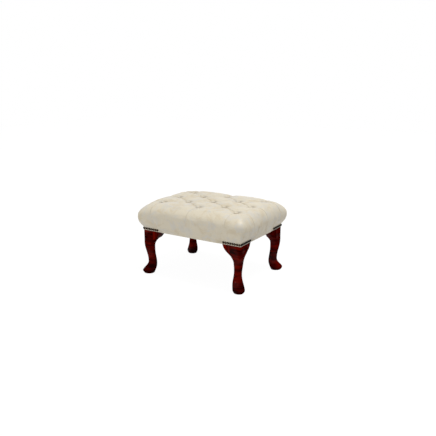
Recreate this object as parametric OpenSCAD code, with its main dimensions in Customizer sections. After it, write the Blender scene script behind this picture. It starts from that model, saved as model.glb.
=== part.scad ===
// Deep-buttoned footstool on four cabriole legs.
// Millimetres, +Z up, front towards -Y, origin on the floor under the middle of the frame.

/* [Frame] */
// Length of the seat frame over the rails
frame_length = 512; // [500:1:540]
// Depth of the seat frame over the rails
frame_depth = 385; // [375:1:410]
// Height of the rails
rail_height = 62; // [58:1:76]
// Thickness of the rails
rail_thickness = 22; // [20:0.5:25]
// Diameter of the dowels in the corner joints
dowel_diameter = 10; // [8:0.5:12]
// Length of a dowel
dowel_length = 40; // [34:1:44]
// Depth of a dowel hole in a long rail
dowel_rail_depth = 15; // [12:0.5:17]
// Distance of the dowels from the edges of a rail
dowel_edge = 16; // [15:0.5:20]
// Side of a corner block, along each rail
block_side = 80; // [76:1:90]
// Height of a corner block
block_height = 40; // [34:1:46]
// Corner cut off a block where the rails meet
block_relief = 8; // [4:0.5:12]
// Thickness of the seat board
board_thickness = 9; // [6:0.5:12]
// Corner radius of the seat board
board_corner = 6; // [3:0.5:12]

/* [Legs] */
// Height of a leg
leg_height = 210; // [200:1:235]
// Side of the square top of a leg
leg_square = 51; // [48:0.5:54]
// Reach of the toe from the middle of the leg's square, along the diagonal
toe_reach = 46; // [42:0.5:50]
// Reach of the heel, the other way
heel_reach = 21.5; // [19:0.5:24]
// Width of the foot
foot_width = 53; // [48:0.5:58]
// Height at which the foot is widest
foot_height = 13; // [11:0.5:16]
// Reach of the instep, the hollow in front of the ankle
instep_reach = 18; // [16:0.5:21]
// Height of the instep
instep_height = 56; // [50:1:62]
// Height at which the heel reaches back most
heel_height = 44; // [38:1:50]
// Reach of the back of the calf
calf_reach = 14.6; // [13:0.2:17]
// Height of the hollow behind the calf
calf_height = 113; // [104:1:122]
// Width of the ankle, seen along the diagonal
ankle_width = 34; // [31:0.5:38]
// Height of the ankle's narrowest place
ankle_height = 86; // [78:1:94]
// Reach of the knee
knee_reach = 35; // [33:0.5:36]
// Height of the knee
knee_height = 155; // [146:1:160]
// How far the foot is drawn in where it meets the floor
foot_roll = 8; // [5:0.5:10]

/* [Brackets] */
// Reach of a knee bracket from the outer corner of the leg
bracket_reach = 88; // [80:1:96]
// Height of the face that is glued to the leg
bracket_height = 45; // [38:1:50]
// Thickness of a bracket
bracket_thickness = 44; // [38:1:48]

/* [Pad] */
// Distance between neighbouring columns of buttons
button_column = 97.1; // [92:0.1:100]
// Distance between neighbouring rows of buttons
button_row = 61.7; // [58:0.1:64]
// Height of the puffs above the seat board
pad_height = 59.5; // [52:0.5:70]
// How far the puffs rise where four of them meet at a pleat
pleat_rise = 3.5; // [2:0.25:6]
// Further rise from a pleat to the top of a puff
puff_rise = 7.5; // [4:0.25:10]
// How far the sides swell out past the hem
side_swell = 24; // [16:0.5:28]
// Height of the fullest part of the sides above the bottom of the rails
swell_height = 62; // [56:1:68]
// Width of the rounded shoulder between top and side
shoulder_width = 62; // [52:1:70]
// Corner radius of the pad at its fullest
swell_corner = 32; // [24:1:48]
// Thickness of the leather
leather_thickness = 1.4; // [1.2:0.1:1.8]
// Thickness of the wadding over the foam
wadding_thickness = 6; // [4:0.5:8]
// Height of the hem band that lies flat on the rails
hem_height = 14.5; // [13.5:0.5:17]
// Corner radius of the hem
hem_corner = 5; // [3:0.5:6]
// Width of the leather turned under the rails
hem_turn = 14; // [12:0.5:15]
// Diameter of a button
button_diameter = 19; // [16:0.5:22]
// Height of a button over its rim
button_dome = 4.5; // [3.5:0.25:6]
// Diameter of the button twine
twine_diameter = 1.8; // [1.4:0.1:2.4]
// Diameter of a twine hole through the pad and the board
twine_hole = 4; // [3.4:0.1:5]
// Diameter of a toggle under the board
toggle_diameter = 8; // [6:0.5:9]
// Length of a toggle
toggle_length = 26; // [20:1:32]

/* [Nails and fasteners] */
// Number of nails on each side of a corner
nails_per_side = 8; // [6:1:8]
// Diameter of a nail head, which is also the spacing of the nails
nail_head = 11; // [10:0.25:11]
// Height of the dome of a nail head
nail_dome = 3.4; // [2.5:0.1:4]
// Diameter of a nail's shank
nail_shank = 1.5; // [1.2:0.1:1.8]
// Length of a nail's shank
nail_length = 12; // [10:0.5:13]
// Length of the shank next to a corner, snipped so that two nails don't meet
nail_snipped = 4.5; // [3.5:0.25:4.5]
// Height of the nails above the bottom of the rails
nail_height = 8; // [6:0.1:8]
// Diameter of the studs that hold the legs
stud_diameter = 8; // [6:0.5:8]
// Depth of a stud in its leg
stud_depth = 35; // [28:1:38]
// Distance of a stud from the outer faces of the frame
stud_inset = 39; // [37:0.5:41]
// Width across the flats of a stud's nut
nut_flats = 13; // [12:0.5:14]
// Height of a stud's nut
nut_height = 6.5; // [5:0.5:7]
// Diameter of a stud's washer
washer_diameter = 24; // [20:1:26]
// Thickness of a washer
washer_thickness = 1.6; // [1:0.1:2.5]
// Shank diameter of the wood screws
screw_diameter = 4; // [3.5:0.1:4.5]
// Length of the screws through the seat board
board_screw_length = 35; // [28:1:40]
// Length of the screws through the corner blocks
block_screw_length = 30; // [26:1:32]
// Width of a staple's crown
staple_width = 10; // [8:0.5:12]
// Length of a staple's legs
staple_leg = 8; // [6:0.5:10]
// Thickness of staple wire
staple_wire = 0.9; // [0.7:0.1:1.1]
// Spacing of the staples along the hem
hem_staple_pitch = 30; // [24:1:40]
// Spacing of the staples in the dust cover
dust_staple_pitch = 62; // [50:1:80]
// Thickness of the dust cover
dust_thickness = 0.4; // [0.3:0.1:0.6]

/* [Hidden] */
$fn = 48;
soft_gap = 0.3;
hole_gap = 0.1;
ends = [-1, 1];

// heights, from the floor up
rail_bottom = leg_height;
rail_top = rail_bottom + rail_height;
board_top = rail_top + board_thickness;
pad_top = board_top + pad_height;
button_seat = pad_top - puff_rise - pleat_rise;
swell_z = rail_bottom + swell_height;
hem_z = rail_bottom + hem_height;
hem_under = rail_bottom - leather_thickness;
dust_under = hem_under - dust_thickness;

// half sizes in plan
half_x = frame_length / 2;
half_y = frame_depth / 2;
skin = soft_gap + leather_thickness;
hem_x = half_x + skin;
hem_y = half_y + skin;
inner_x = half_x - rail_thickness;
inner_y = half_y - rail_thickness;
outer_button_x = 2 * button_column;
outer_button_y = 2 * button_row;

CORNERS = [["front_left", -1, -1], ["front_right", 1, -1], ["back_left", -1, 1], ["back_right", 1, 1]];
function corner_nodes(kind) = [for (c = CORNERS) str(kind, "_", c[0])];

function ease(a, b, t) = a + (b - a) * (1 - cos(180 * min(max(t, 0), 1))) / 2;
function flat(lists) = [for (l = lists) each l];

// Button places: three rows of three with two rows of two between them
BUTTONS = [for (row = [-2 : 2]) for (col = [-2 : 2]) if ((row + col) % 2 == 0)
    [col * button_column, row * button_row]];

// The pad's skin.
// The buttoned middle is a grid with three cells between neighbouring lines of buttons.
// Spokes run on from its edge, over the shoulder and down the sides, and rings cross them.
cells = 12;
corner_steps = 4;
side_spokes = cells + 1;
quarter = side_spokes + corner_steps;
spokes = 4 * quarter;
shoulder_form = 1.85;
flank_form = 1.5;
pleat_form = 0.8;
pleat_fade = 1.6;
corner_slump = 0.65;
corner_well = 0.55;

function ridge(d) = pow(sin(180 * abs(d - round(d))), pleat_form);
// Rise of the top above a button, at a place on the pad
function tuft_rise(x, y) =
    let (u = x / button_column, v = y / button_row, a = ridge((u + v) / 2), b = ridge((u - v) / 2))
    puff_rise * a * b + pleat_rise * (1 - (1 - a * a) * (1 - b * b));

// A place given along and out from one side, turned to that side of the stool
function turned(side, p) = side == 0 ? [p[0], -p[1]] : side == 1 ? [p[1], p[0]]
    : side == 2 ? [-p[0], p[1]] : [-p[1], -p[0]];
function along_out(side, x, y) = side % 2 == 0 ? [x, y] : [y, x];

// Where a spoke starts, at the outer buttons
function spoke_start(j) =
    let (side = floor(j / quarter), s = j % quarter,
         h = along_out(side, outer_button_x, outer_button_y))
    turned(side, [s < side_spokes ? h[0] * (2 * s / cells - 1) : h[0], h[1]]);
// The grid point there
function spoke_cell(j) =
    let (side = floor(j / quarter), s = min(j % quarter, cells))
    side == 0 ? s : side == 1 ? s * side_spokes + cells
    : side == 2 ? cells * side_spokes + cells - s : (cells - s) * side_spokes;
// Direction in which a spoke faces
function spoke_angle(j) =
    let (s = j % quarter) s < side_spokes ? 0 : 90 * (s - side_spokes) / (corner_steps - 1);
function spoke_out(j) =
    turned(floor(j / quarter), [sin(spoke_angle(j)), cos(spoke_angle(j))]);
// Where a spoke crosses an outline that stands out from the hem by swell, with a corner radius
function spoke_at(j, swell, radius) =
    let (side = floor(j / quarter), s = j % quarter, a = spoke_angle(j),
         h = along_out(side, outer_button_x, outer_button_y),
         o = along_out(side, hem_x + swell, hem_y + swell))
    turned(side, s < side_spokes ? [h[0] * (2 * s / cells - 1), o[1]]
        : [o[0] - radius + radius * sin(a), o[1] - radius + radius * cos(a)]);
// 0 along the sides, rising to 1 in the middle of a corner
function cornering(j) = let (s = j % quarter)
    s < side_spokes ? 0 : sin(180 * (s - cells) / (corner_steps + 1));
// Rise of a spoke above the button seat. At a corner it grows from the button outwards.
function spoke_rise(j, share) =
    let (p = spoke_start(j))
    tuft_rise(p[0], p[1])
    + (puff_rise + pleat_rise) * pow(cornering(j), pleat_form) * ease(0, 1, share / corner_well);

// Shoulder: share of its width and height at an angle, 0 on top and 90 at the fullest place
function shoulder_across(angle) = pow(sin(angle), 2 / shoulder_form);
function shoulder_up(angle) = pow(cos(angle), 2 / shoulder_form);
border_width = (hem_x - outer_button_x + hem_y - outer_button_y) / 2 + side_swell;
shoulder_share = shoulder_width / border_width;

// A point on the border, at a share of the way from the buttons to the fullest line.
// depth is how far under the skin it lies.
function border_point(j, share, depth) =
    let (a = spoke_start(j), b = spoke_at(j, side_swell, swell_corner),
         width = shoulder_share * (1 + corner_slump * cornering(j)),
         across = max(0, (share - 1 + width) / width),
         up = pow(max(0, 1 - pow(across, shoulder_form)), 1 / shoulder_form),
         lack = (puff_rise + pleat_rise - spoke_rise(j, share)) * pow(1 - share, pleat_fade),
         z = swell_z + (pad_top - swell_z) * up - lack * up,
         lean = 90 * pow(across, 1.3),
         n = spoke_out(j))
    [a[0] + (b[0] - a[0]) * share - depth * sin(lean) * n[0],
     a[1] + (b[1] - a[1]) * share - depth * sin(lean) * n[1],
     z - depth * cos(lean)];
// A point on the flank below the fullest line, at its height
function flank_point(j, z, depth) =
    let (t = min(1, (swell_z - z) / (swell_z - hem_z)), swell = side_swell * (1 - pow(t, flank_form)),
         p = spoke_at(j, swell, swell_corner + (hem_corner - swell_corner) * t), n = spoke_out(j))
    [p[0] - depth * n[0], p[1] - depth * n[1], z];
// A point of an upright wall, out from the hem by swell
function wall_point(j, z, swell, radius) = let (p = spoke_at(j, swell, radius)) [p[0], p[1], z];

// Shares at which the rings cross the border, the last ones at angles round the shoulder
border_shares = concat([0.15, 0.33],
    [for (angle = [27, 48, 68]) 1 - shoulder_share * (1 - shoulder_across(angle))]);
fine_rings = 4;

// Rings under the skin at a depth, over the border only
function border_rings(depth) = [for (share = border_shares)
    [for (j = [0 : spokes - 1]) border_point(j, share, depth)]];
function flank_ring(z, depth) = [for (j = [0 : spokes - 1]) flank_point(j, z, depth)];
function wall_ring(z, swell, radius) = [for (j = [0 : spokes - 1]) wall_point(j, z, swell, radius)];
function grid_points(depth) = [for (row = [0 : cells]) for (col = [0 : cells])
    let (x = outer_button_x * (2 * col / cells - 1), y = outer_button_y * (2 * row / cells - 1))
    [x, y, button_seat + tuft_rise(x, y) - depth]];

// Faces of the grid: each cell is split along the nearer pleat
function grid_faces() = [for (row = [0 : cells - 1]) for (col = [0 : cells - 1])
    let (a = row * side_spokes + col, b = a + 1, c = b + side_spokes, d = a + side_spokes,
         p = (row + col + 1) / 6, q = (col - row) / 6,
         falling = abs(p - round(p)) < abs(q - round(q)))
    each falling ? [[a, b, d], [b, c, d]] : [[a, b, c], [a, c, d]]];
// Number of a ring's point. Past the fine rings only every fourth side spoke is kept.
function kept(j) = let (s = j % quarter) s < side_spokes ? j - s + 4 * round(s / 4) : j;
function ring_index(ring, j) = let (k = j % spokes) ring == 0 ? spoke_cell(k)
    : side_spokes * side_spokes + (ring - 1) * spokes + (ring > fine_rings ? kept(k) : k);
function ring_faces(first, last) = [for (ring = [first : last - 1]) for (j = [0 : spokes - 1])
    let (a = ring_index(ring, j), b = ring_index(ring, j + 1),
         c = ring_index(ring + 1, j + 1), d = ring_index(ring + 1, j))
    each [if (a != b && b != c && a != c) [a, c, b], if (a != c && c != d && a != d) [a, d, c]]];
function skin_faces(rings) = concat(grid_faces(), ring_faces(0, rings));
function shifted(faces, by) = [for (f = faces) [for (i = f) i + by]];
function reversed(faces) = [for (f = faces) [f[2], f[1], f[0]]];
skin_points = side_spokes * side_spokes;

// A shell between an outer and an inner skin, each a grid and its rings, closed along the last ring
module pad_shell(outer, inner, rings) {
    count = skin_points + rings * spokes;
    rim = [for (j = [0 : spokes - 1])
        let (a = ring_index(rings, j), b = ring_index(rings, j + 1))
        each a == b ? [] : [[b, a, a + count], [b, a + count, b + count]]];
    polyhedron(points = concat(outer, inner),
        faces = reversed(concat(skin_faces(rings), shifted(reversed(skin_faces(rings)), count), rim)));
}
// A solid under one skin, closed at the last ring by a flat bottom round a middle point
module pad_solid(points, rings, bottom_z) {
    bottom = [for (j = [0 : spokes - 1])
        let (a = ring_index(rings, j), b = ring_index(rings, j + 1))
        if (a != b) [b, a, len(points)]];
    polyhedron(points = concat(points, [[0, 0, bottom_z]]),
        faces = reversed(concat(skin_faces(rings), bottom)));
}

// Depths of the layers under the leather's face
foam_depth = skin + wadding_thickness + soft_gap;
foam_slack = 1;
foam_swell = side_swell - foam_depth - foam_slack;
foam_corner = swell_corner - foam_depth;
flank_z = hem_z + 0.5 * (swell_z - hem_z);
wadding_z = hem_z + 0.17 * (swell_z - hem_z);

module leather_shell() {
    rings = len(border_shares) + 4;
    function skin_at(depth) = concat(grid_points(depth), flat(border_rings(depth)),
        flank_ring(swell_z, depth), flank_ring(flank_z, depth), flank_ring(hem_z, depth),
        flank_ring(rail_bottom, depth));
    pad_shell(skin_at(0), skin_at(leather_thickness), rings);
}
module wadding() color("whitesmoke") difference() {
    rings = len(border_shares) + 3;
    under = foam_depth - soft_gap;
    pad_shell(
        concat(grid_points(skin), flat(border_rings(skin)), flank_ring(swell_z, skin),
            flank_ring(flank_z, skin), flank_ring(wadding_z, skin)),
        concat(grid_points(under), flat(border_rings(under)),
            wall_ring(board_top - soft_gap, foam_swell + soft_gap, foam_corner + soft_gap),
            wall_ring(board_top - soft_gap, soft_gap - skin, hem_corner),
            wall_ring(wadding_z, soft_gap - skin, hem_corner)),
        rings);
    twine_holes(rail_top, pad_top);
}
module foam_pad() color("khaki") difference() {
    pad_solid(concat(grid_points(foam_depth), flat(border_rings(foam_depth)),
        wall_ring(board_top, foam_swell, foam_corner)), len(border_shares) + 1, board_top);
    twine_holes(rail_top, pad_top);
}
module twine_holes(from, to) for (b = BUTTONS)
    translate([b[0], b[1], from]) cylinder(d = twine_hole, h = to - from);

// Brackets stand this far clear of what is cut round them
bracket_clear = 4;
turn_x = half_x - bracket_reach - bracket_clear;
turn_y = half_y - bracket_reach - bracket_clear;

// The leather folded under the rails between the brackets
module hem_turns() {
    for (s = ends) {
        translate([-turn_x, s > 0 ? half_y - hem_turn : -hem_y, hem_under])
            cube([2 * turn_x, hem_turn + skin, leather_thickness]);
        translate([s > 0 ? half_x - hem_turn : -hem_x, -turn_y, hem_under])
            cube([hem_turn + skin, 2 * turn_y, leather_thickness]);
    }
}
module leather_cover() color("antiquewhite") difference() {
    union() {
        leather_shell();
        hem_turns();
    }
    twine_holes(rail_top, pad_top);
    for (c = CORNERS) at_nails(c) nail_hole();
    at_hem_staples() staple(hole_gap);
}

// Rails: the long ones run right through and the short ones are dowelled between them
dowel_heights = [rail_bottom + dowel_edge, rail_top - dowel_edge];
dowel_x = half_x - rail_thickness / 2;
module at_dowels() for (sx = ends) for (sy = ends) for (z = dowel_heights)
    translate([sx * dowel_x, sy * (inner_y + dowel_rail_depth), z]) rotate([90 * sy, 0, 0]) children();
module dowel_holes() at_dowels() cylinder(r = dowel_diameter / 2 + hole_gap, h = dowel_length);
module rail_dowels() color("burlywood") at_dowels() cylinder(d = dowel_diameter, h = dowel_length);

module drilled_rail() color("tan") difference() {
    children();
    dowel_holes();
    for (c = CORNERS) at_nails(c) nail_hole();
    at_block_screws() screw_hole(block_screw_length);
    at_board_screws() screw_hole(board_screw_length);
    at_hem_staples() staple(hole_gap);
    at_dust_staples() staple(hole_gap);
}
// The frame's plan with its four corners rounded
module rounded_plan(radius) difference() {
    square([frame_length, frame_depth], center = true);
    for (c = CORNERS) translate([c[1] * (half_x - radius), c[2] * (half_y - radius)]) difference() {
        translate([c[1] > 0 ? 0 : -radius, c[2] > 0 ? 0 : -radius]) square(radius);
        circle(radius);
    }
}
rail_corner = hem_corner - skin;
module long_rail(s) drilled_rail()
    translate([0, 0, rail_bottom]) linear_extrude(rail_height) intersection() {
        rounded_plan(rail_corner);
        translate([-half_x, s > 0 ? inner_y : -half_y]) square([frame_length, rail_thickness]);
    }
module short_rail(s) drilled_rail()
    translate([s > 0 ? inner_x : -half_x, -inner_y, rail_bottom])
        cube([rail_thickness, 2 * inner_y, rail_height]);

// Corner blocks: the studs of the legs pass through them
block_screw_across = 18;
block_screw_cover = 14;
stud_x = half_x - stud_inset;
stud_y = half_y - stud_inset;
module corner_block(c) color("tan") difference() {
    translate([c[1] * inner_x, c[2] * inner_y, rail_bottom]) linear_extrude(block_height)
        polygon([for (p = [[block_relief, 0], [block_side, 0], [0, block_side], [0, block_relief]])
            [-c[1] * p[0], -c[2] * p[1]]]);
    translate([c[1] * stud_x, c[2] * stud_y, rail_bottom])
        cylinder(r = stud_diameter / 2 + 0.3, h = block_height);
    at_block_screws() {
        screw_hole(block_screw_length);
        cylinder(r = screw_diameter * 1.15, h = block_side);
    }
}
// Each block has one screw into the long rail and one into the short rail
module at_block_screws() for (c = CORNERS) {
    z = rail_bottom + block_height / 2;
    along = block_side - block_screw_across;
    translate([c[1] * (inner_x - along), c[2] * (inner_y - block_screw_cover), z])
        rotate([90 * c[2], 0, 0]) children();
    translate([c[1] * (inner_x - block_screw_cover), c[2] * (inner_y - along), z])
        rotate([0, -90 * c[1], 0]) children();
}
module corner_block_screws() color("silver") at_block_screws() screw(block_screw_length);

// A countersunk wood screw, its head's face at the origin and its point down
head_depth = screw_diameter * 0.55;
tip_length = screw_diameter * 1.5;
module screw(length) rotate_extrude() polygon([[0, 0], [screw_diameter, 0],
    [screw_diameter / 2, -head_depth], [screw_diameter / 2, tip_length - length], [0, -length]]);
module screw_hole(length) rotate_extrude() polygon([[0, 0], [screw_diameter + hole_gap, 0],
    [screw_diameter / 2 + hole_gap, -head_depth], [screw_diameter / 2 + hole_gap, -length - 1],
    [0, -length - 1]]);

// Seat board on the rails
module seat_board() color("peru") difference() {
    translate([0, 0, rail_top]) linear_extrude(board_thickness) rounded_plan(board_corner);
    twine_holes(rail_top - 1, board_top + 1);
    at_board_screws() screw_hole(board_screw_length);
}
board_screw_x = 0.3 * frame_length;
board_screw_y = 0.18 * frame_depth;
module at_board_screws() translate([0, 0, board_top]) for (s = ends) {
    for (x = [-board_screw_x, 0, board_screw_x])
        translate([x, s * (half_y - rail_thickness / 2), 0]) children();
    for (y = [-board_screw_y, board_screw_y])
        translate([s * (half_x - rail_thickness / 2), y, 0]) children();
}
module seat_board_screws() color("silver") at_board_screws() screw(board_screw_length);

// Cabriole legs.
// Heights run up the leg. Front is outwards along the diagonal, back is inwards.
bracket_base = leg_height - bracket_height;
square_lift = 15;
square_start = calf_height + square_lift;
square_form = 2.2;
instep_form = 0.75;
ankle_form = 0.9;
heel_roll = 1.7 * foot_roll;
side_roll = 0.7 * foot_roll;
knee_half = 0.45 * leg_square;
function share_of(z, from, to) = (z - from) / (to - from);
// How much of the roll under the foot is left at a height, when it ends at a top height
function rolled(z, top) = 1 - sin(90 * max(z, 0) / top);
function leg_front(z) =
    z < foot_height ? toe_reach - foot_roll * rolled(z, foot_height)
    : z < instep_height
    ? ease(toe_reach, instep_reach, pow(share_of(z, foot_height, instep_height), instep_form))
    : ease(instep_reach, knee_reach, share_of(z, instep_height, knee_height));
function leg_back(z) =
    z < heel_height ? heel_reach - heel_roll * rolled(z, heel_height)
    : ease(heel_reach, calf_reach, share_of(z, heel_height, calf_height));
function leg_half(z) =
    z < foot_height ? foot_width / 2 - side_roll * rolled(z, foot_height)
    : z < ankle_height
    ? ease(foot_width / 2, ankle_width / 2, pow(share_of(z, foot_height, ankle_height), ankle_form))
    : ease(ankle_width / 2, knee_half, share_of(z, ankle_height, bracket_base));
// A point of the leg's outline at a height, a angle round from the front.
// The round stem grows into the square under the knee. Only the foot stands out past the square.
function leg_point(z, a) =
    let (front = leg_front(z), back = leg_back(z),
         stem = [(front - back) / 2 + (front + back) / 2 * cos(a), leg_half(z) * sin(a)],
         reach = leg_square / 2 / max(abs(cos(45 + a)), abs(sin(45 + a))),
         share = pow(min(1, max(0, share_of(z, square_start, bracket_base))), square_form),
         p = (1 - share) * stem + share * reach * [cos(a), sin(a)],
         limit = z > instep_height ? leg_square / 2 : toe_reach)
    [min(limit, (p[0] - p[1]) / sqrt(2)), min(limit, (p[0] + p[1]) / sqrt(2)), z];
// The outer arris is eased: no point lies on it, but one a little to either side
arris_turn = 4;
leg_angles = concat([-arris_turn, arris_turn], [for (k = [1 : 23]) 15 * k]);
foot_steps = [0, 0.1, 0.25, 0.5, 0.75, 1];
instep_steps = 7;
stem_steps = 10;
leg_rings = concat([-1], [for (t = foot_steps) foot_height * t],
    [for (k = [1 : instep_steps]) foot_height + (instep_height - foot_height) * k / instep_steps],
    [for (k = [1 : stem_steps]) instep_height + (bracket_base - instep_height) * k / stem_steps],
    [leg_height + 1]);
// A skin through rings of equal count, closed round a middle point at both ends
function mean(points) = [for (p = points) 1] * points / len(points);
module ringed_solid(rings) {
    n = len(rings[0]);
    last = (len(rings) - 1) * n;
    middle = last + n;
    polyhedron(points = concat(flat(rings), [mean(rings[0]), mean(rings[len(rings) - 1])]), faces = concat(
        [for (r = [0 : len(rings) - 2]) for (i = [0 : n - 1])
            let (a = r * n + i, b = r * n + (i + 1) % n) each [[a, b + n, b], [a, a + n, b + n]]],
        [for (i = [0 : n - 1]) let (k = (i + 1) % n)
            each [[middle, i, k], [middle + 1, last + k, last + i]]]));
}
leg_turn = [[180, 270], [90, 0]];
leg_trim = 4 * leg_square;
module leg(c) color([0.28, 0.03, 0.03]) translate([c[1] * (half_x - leg_square / 2),
        c[2] * (half_y - leg_square / 2), 0]) rotate([0, 0, leg_turn[(c[2] + 1) / 2][(c[1] + 1) / 2]])
    difference() {
        ringed_solid([for (z = leg_rings) [for (a = leg_angles) leg_point(z, a)]]);
        for (z = [-leg_trim, leg_height])
            translate([-leg_trim / 2, -leg_trim / 2, z]) cube(leg_trim);
        translate([leg_square / 2 - stud_inset, leg_square / 2 - stud_inset, leg_height - stud_depth - 1])
            cylinder(r = stud_diameter / 2 + hole_gap, h = stud_depth + 2);
    }

// Knee brackets, sawn to a hollow curve that runs on from the leg
function bracket_curve(t) = 0.35 * t + 0.65 * (1 - sqrt(1 - pow(t, 2.6)));
bracket_profile = concat([[leg_square, leg_height]],
    [for (i = [0 : 12]) let (t = sin(90 * i / 12))
        [leg_square + (bracket_reach - leg_square) * t, bracket_base + bracket_height * bracket_curve(t)]]);
module long_bracket(c) color([0.28, 0.03, 0.03])
    translate([0, c[2] > 0 ? half_y : bracket_thickness - half_y, 0]) rotate([90, 0, 0])
        linear_extrude(bracket_thickness)
            polygon([for (p = bracket_profile) [c[1] * (half_x - p[0]), p[1]]]);
module short_bracket(c) color([0.28, 0.03, 0.03])
    translate([c[1] > 0 ? half_x - bracket_thickness : -half_x, 0, 0]) rotate([90, 0, 90])
        linear_extrude(bracket_thickness)
            polygon([for (p = bracket_profile) [c[2] * (half_y - p[0]), p[1]]]);

// Studs screwed into the legs, drawn up with a washer and a nut over each corner block
washer_z = rail_bottom + block_height;
nut_z = washer_z + washer_thickness;
stud_top = nut_z + nut_height + 3;
stud_bottom = leg_height - stud_depth;
module at_studs() for (c = CORNERS) translate([c[1] * stud_x, c[2] * stud_y, 0]) children();
module leg_studs() color("silver") at_studs() translate([0, 0, stud_bottom]) rotate_extrude()
    polygon([[0, 0], [stud_diameter / 2, stud_diameter / 2],
        [stud_diameter / 2, stud_top - stud_bottom - 1],
        [stud_diameter / 2 - 1, stud_top - stud_bottom], [0, stud_top - stud_bottom]]);
module leg_washers() color("silver") at_studs() translate([0, 0, washer_z]) difference() {
    cylinder(d = washer_diameter, h = washer_thickness);
    translate([0, 0, -1]) cylinder(r = stud_diameter / 2 + 0.25, h = washer_thickness + 2);
}
module leg_nuts() color("silver") at_studs() translate([0, 0, nut_z]) difference() {
    cylinder(d = nut_flats / cos(30), h = nut_height, $fn = 6);
    translate([0, 0, -1]) cylinder(r = stud_diameter / 2 + hole_gap, h = nut_height + 2);
}

// Covered buttons. Their backs slope as the wells do, so that they lie just clear of the leather.
well_step = 2 * outer_button_y / cells;
back_slope = tuft_rise(0, well_step) / well_step + 0.04;
back_radius = 2;
back_height = 0.6;
button_radius = button_diameter / 2;
rim_height = back_height + (button_radius - back_radius) * back_slope;
dome_radius = (button_radius * button_radius + button_dome * button_dome) / (2 * button_dome);
module buttons() color("antiquewhite") for (b = BUTTONS) translate([b[0], b[1], button_seat])
    rotate_extrude() {
        polygon([[0, back_height], [back_radius, back_height], [button_radius, rim_height], [0, rim_height]]);
        translate([0, rim_height]) intersection() {
            square([button_radius, button_dome]);
            translate([0, button_dome - dome_radius]) circle(dome_radius);
        }
    }
// Twine from each button through the pad, the board and a toggle, to a knot
toggle_z = rail_top - toggle_diameter / 2;
knot_radius = 1.6 * twine_diameter;
knot_z = rail_top - toggle_diameter - knot_radius * 0.9;
module button_twine() color("ivory") for (b = BUTTONS) translate([b[0], b[1], 0]) {
    translate([0, 0, knot_z]) cylinder(d = twine_diameter, h = button_seat + back_height - knot_z);
    translate([0, 0, knot_z]) sphere(knot_radius);
}
module twine_toggles() color("burlywood") for (b = BUTTONS) translate([b[0], b[1], toggle_z]) difference() {
    rotate([0, 90, 0]) cylinder(d = toggle_diameter, h = toggle_length, center = true);
    cylinder(r = twine_diameter / 2 + hole_gap, h = toggle_diameter + 2, center = true);
}

// Nails along both faces of a corner. The first one's shank is snipped.
nail_corner_gap = 1;
nail_first = nail_head / 2 + nail_corner_gap;
nail_z = rail_bottom + nail_height;
dome_curve = (nail_head * nail_head / 4 + nail_dome * nail_dome) / (2 * nail_dome);
function shank_length(k) = k == 0 ? nail_snipped : nail_length;
module at_nails(c) for (k = [0 : nails_per_side - 1]) {
    $shank = shank_length(k);
    step = nail_first + k * nail_head;
    translate([c[1] * (hem_x - step), c[2] * hem_y, nail_z]) rotate([-90 * c[2], 0, 0]) children();
    translate([c[1] * hem_x, c[2] * (hem_y - step), nail_z]) rotate([0, 90 * c[1], 0]) children();
}
module nail() rotate_extrude() {
    intersection() {
        square([nail_head / 2, nail_dome]);
        translate([0, nail_dome - dome_curve]) circle(dome_curve);
    }
    polygon([[0, 0], [nail_shank / 2, 0], [nail_shank / 2, nail_shank - $shank], [0, -$shank]]);
}
module nail_hole() translate([0, 0, -$shank - 0.5])
    cylinder(r = nail_shank / 2 + hole_gap, h = $shank + 1.5);
module nails(c) color([0.3, 0.22, 0.12]) at_nails(c) nail();

// Staples, crown down and legs up, with room all round when they are cut as slots
module staple(room = 0) translate([0, 0, -staple_wire]) {
    translate([-staple_width / 2 - room, -staple_wire / 2 - room, -room])
        cube([staple_width + 2 * room, staple_wire + 2 * room, staple_wire + room]);
    for (s = ends) translate([s * (staple_width - staple_wire) / 2 - staple_wire / 2 - room,
            -staple_wire / 2 - room, 0])
        cube([staple_wire + 2 * room, staple_wire + 2 * room, staple_leg + room]);
}
function spread(half_run, pitch) = let (n = floor(half_run / pitch)) [for (i = [-n : n]) i * pitch];
module at_rail_places(half_run_x, half_run_y, inset, pitch, z) translate([0, 0, z]) for (s = ends) {
    for (x = spread(half_run_x, pitch)) translate([x, s * (half_y - inset), 0]) children();
    for (y = spread(half_run_y, pitch))
        translate([s * (half_x - inset), y, 0]) rotate([0, 0, 90]) children();
}
module at_hem_staples() at_rail_places(turn_x - staple_width, turn_y - staple_width,
    hem_turn / 2, hem_staple_pitch, hem_under) children();
module hem_staples() color("gray") at_hem_staples() staple();

// Dust cover over the open bottom of the frame, cut round the legs and brackets
dust_top = hem_under - staple_wire;
dust_inset = 6;
dust_staple_inset = hem_turn + (rail_thickness - hem_turn) / 2;
module at_dust_staples() at_rail_places(turn_x - staple_width, turn_y - staple_width,
    dust_staple_inset, dust_staple_pitch, dust_top - dust_thickness) children();
function dust_corner(c) =
    let (far = bracket_reach + bracket_clear, side = bracket_thickness + bracket_clear,
         near = leg_square + bracket_clear,
         way = [[dust_inset, far], [side, far], [side, near], [near, near], [near, side],
                [far, side], [far, dust_inset]],
         turned_way = c[1] * c[2] > 0 ? way : [for (i = [6 : -1 : 0]) way[i]])
    [for (p = turned_way) [c[1] * (half_x - p[0]), c[2] * (half_y - p[1])]];
module dust_cover() color([0.1, 0.1, 0.1]) difference() {
    translate([0, 0, dust_top - dust_thickness]) linear_extrude(dust_thickness)
        polygon(flat([for (c = [CORNERS[3], CORNERS[2], CORNERS[0], CORNERS[1]]) dust_corner(c)]));
    at_dust_staples() staple(hole_gap);
}
module dust_cover_staples() color("gray") at_dust_staples() staple();

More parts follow.
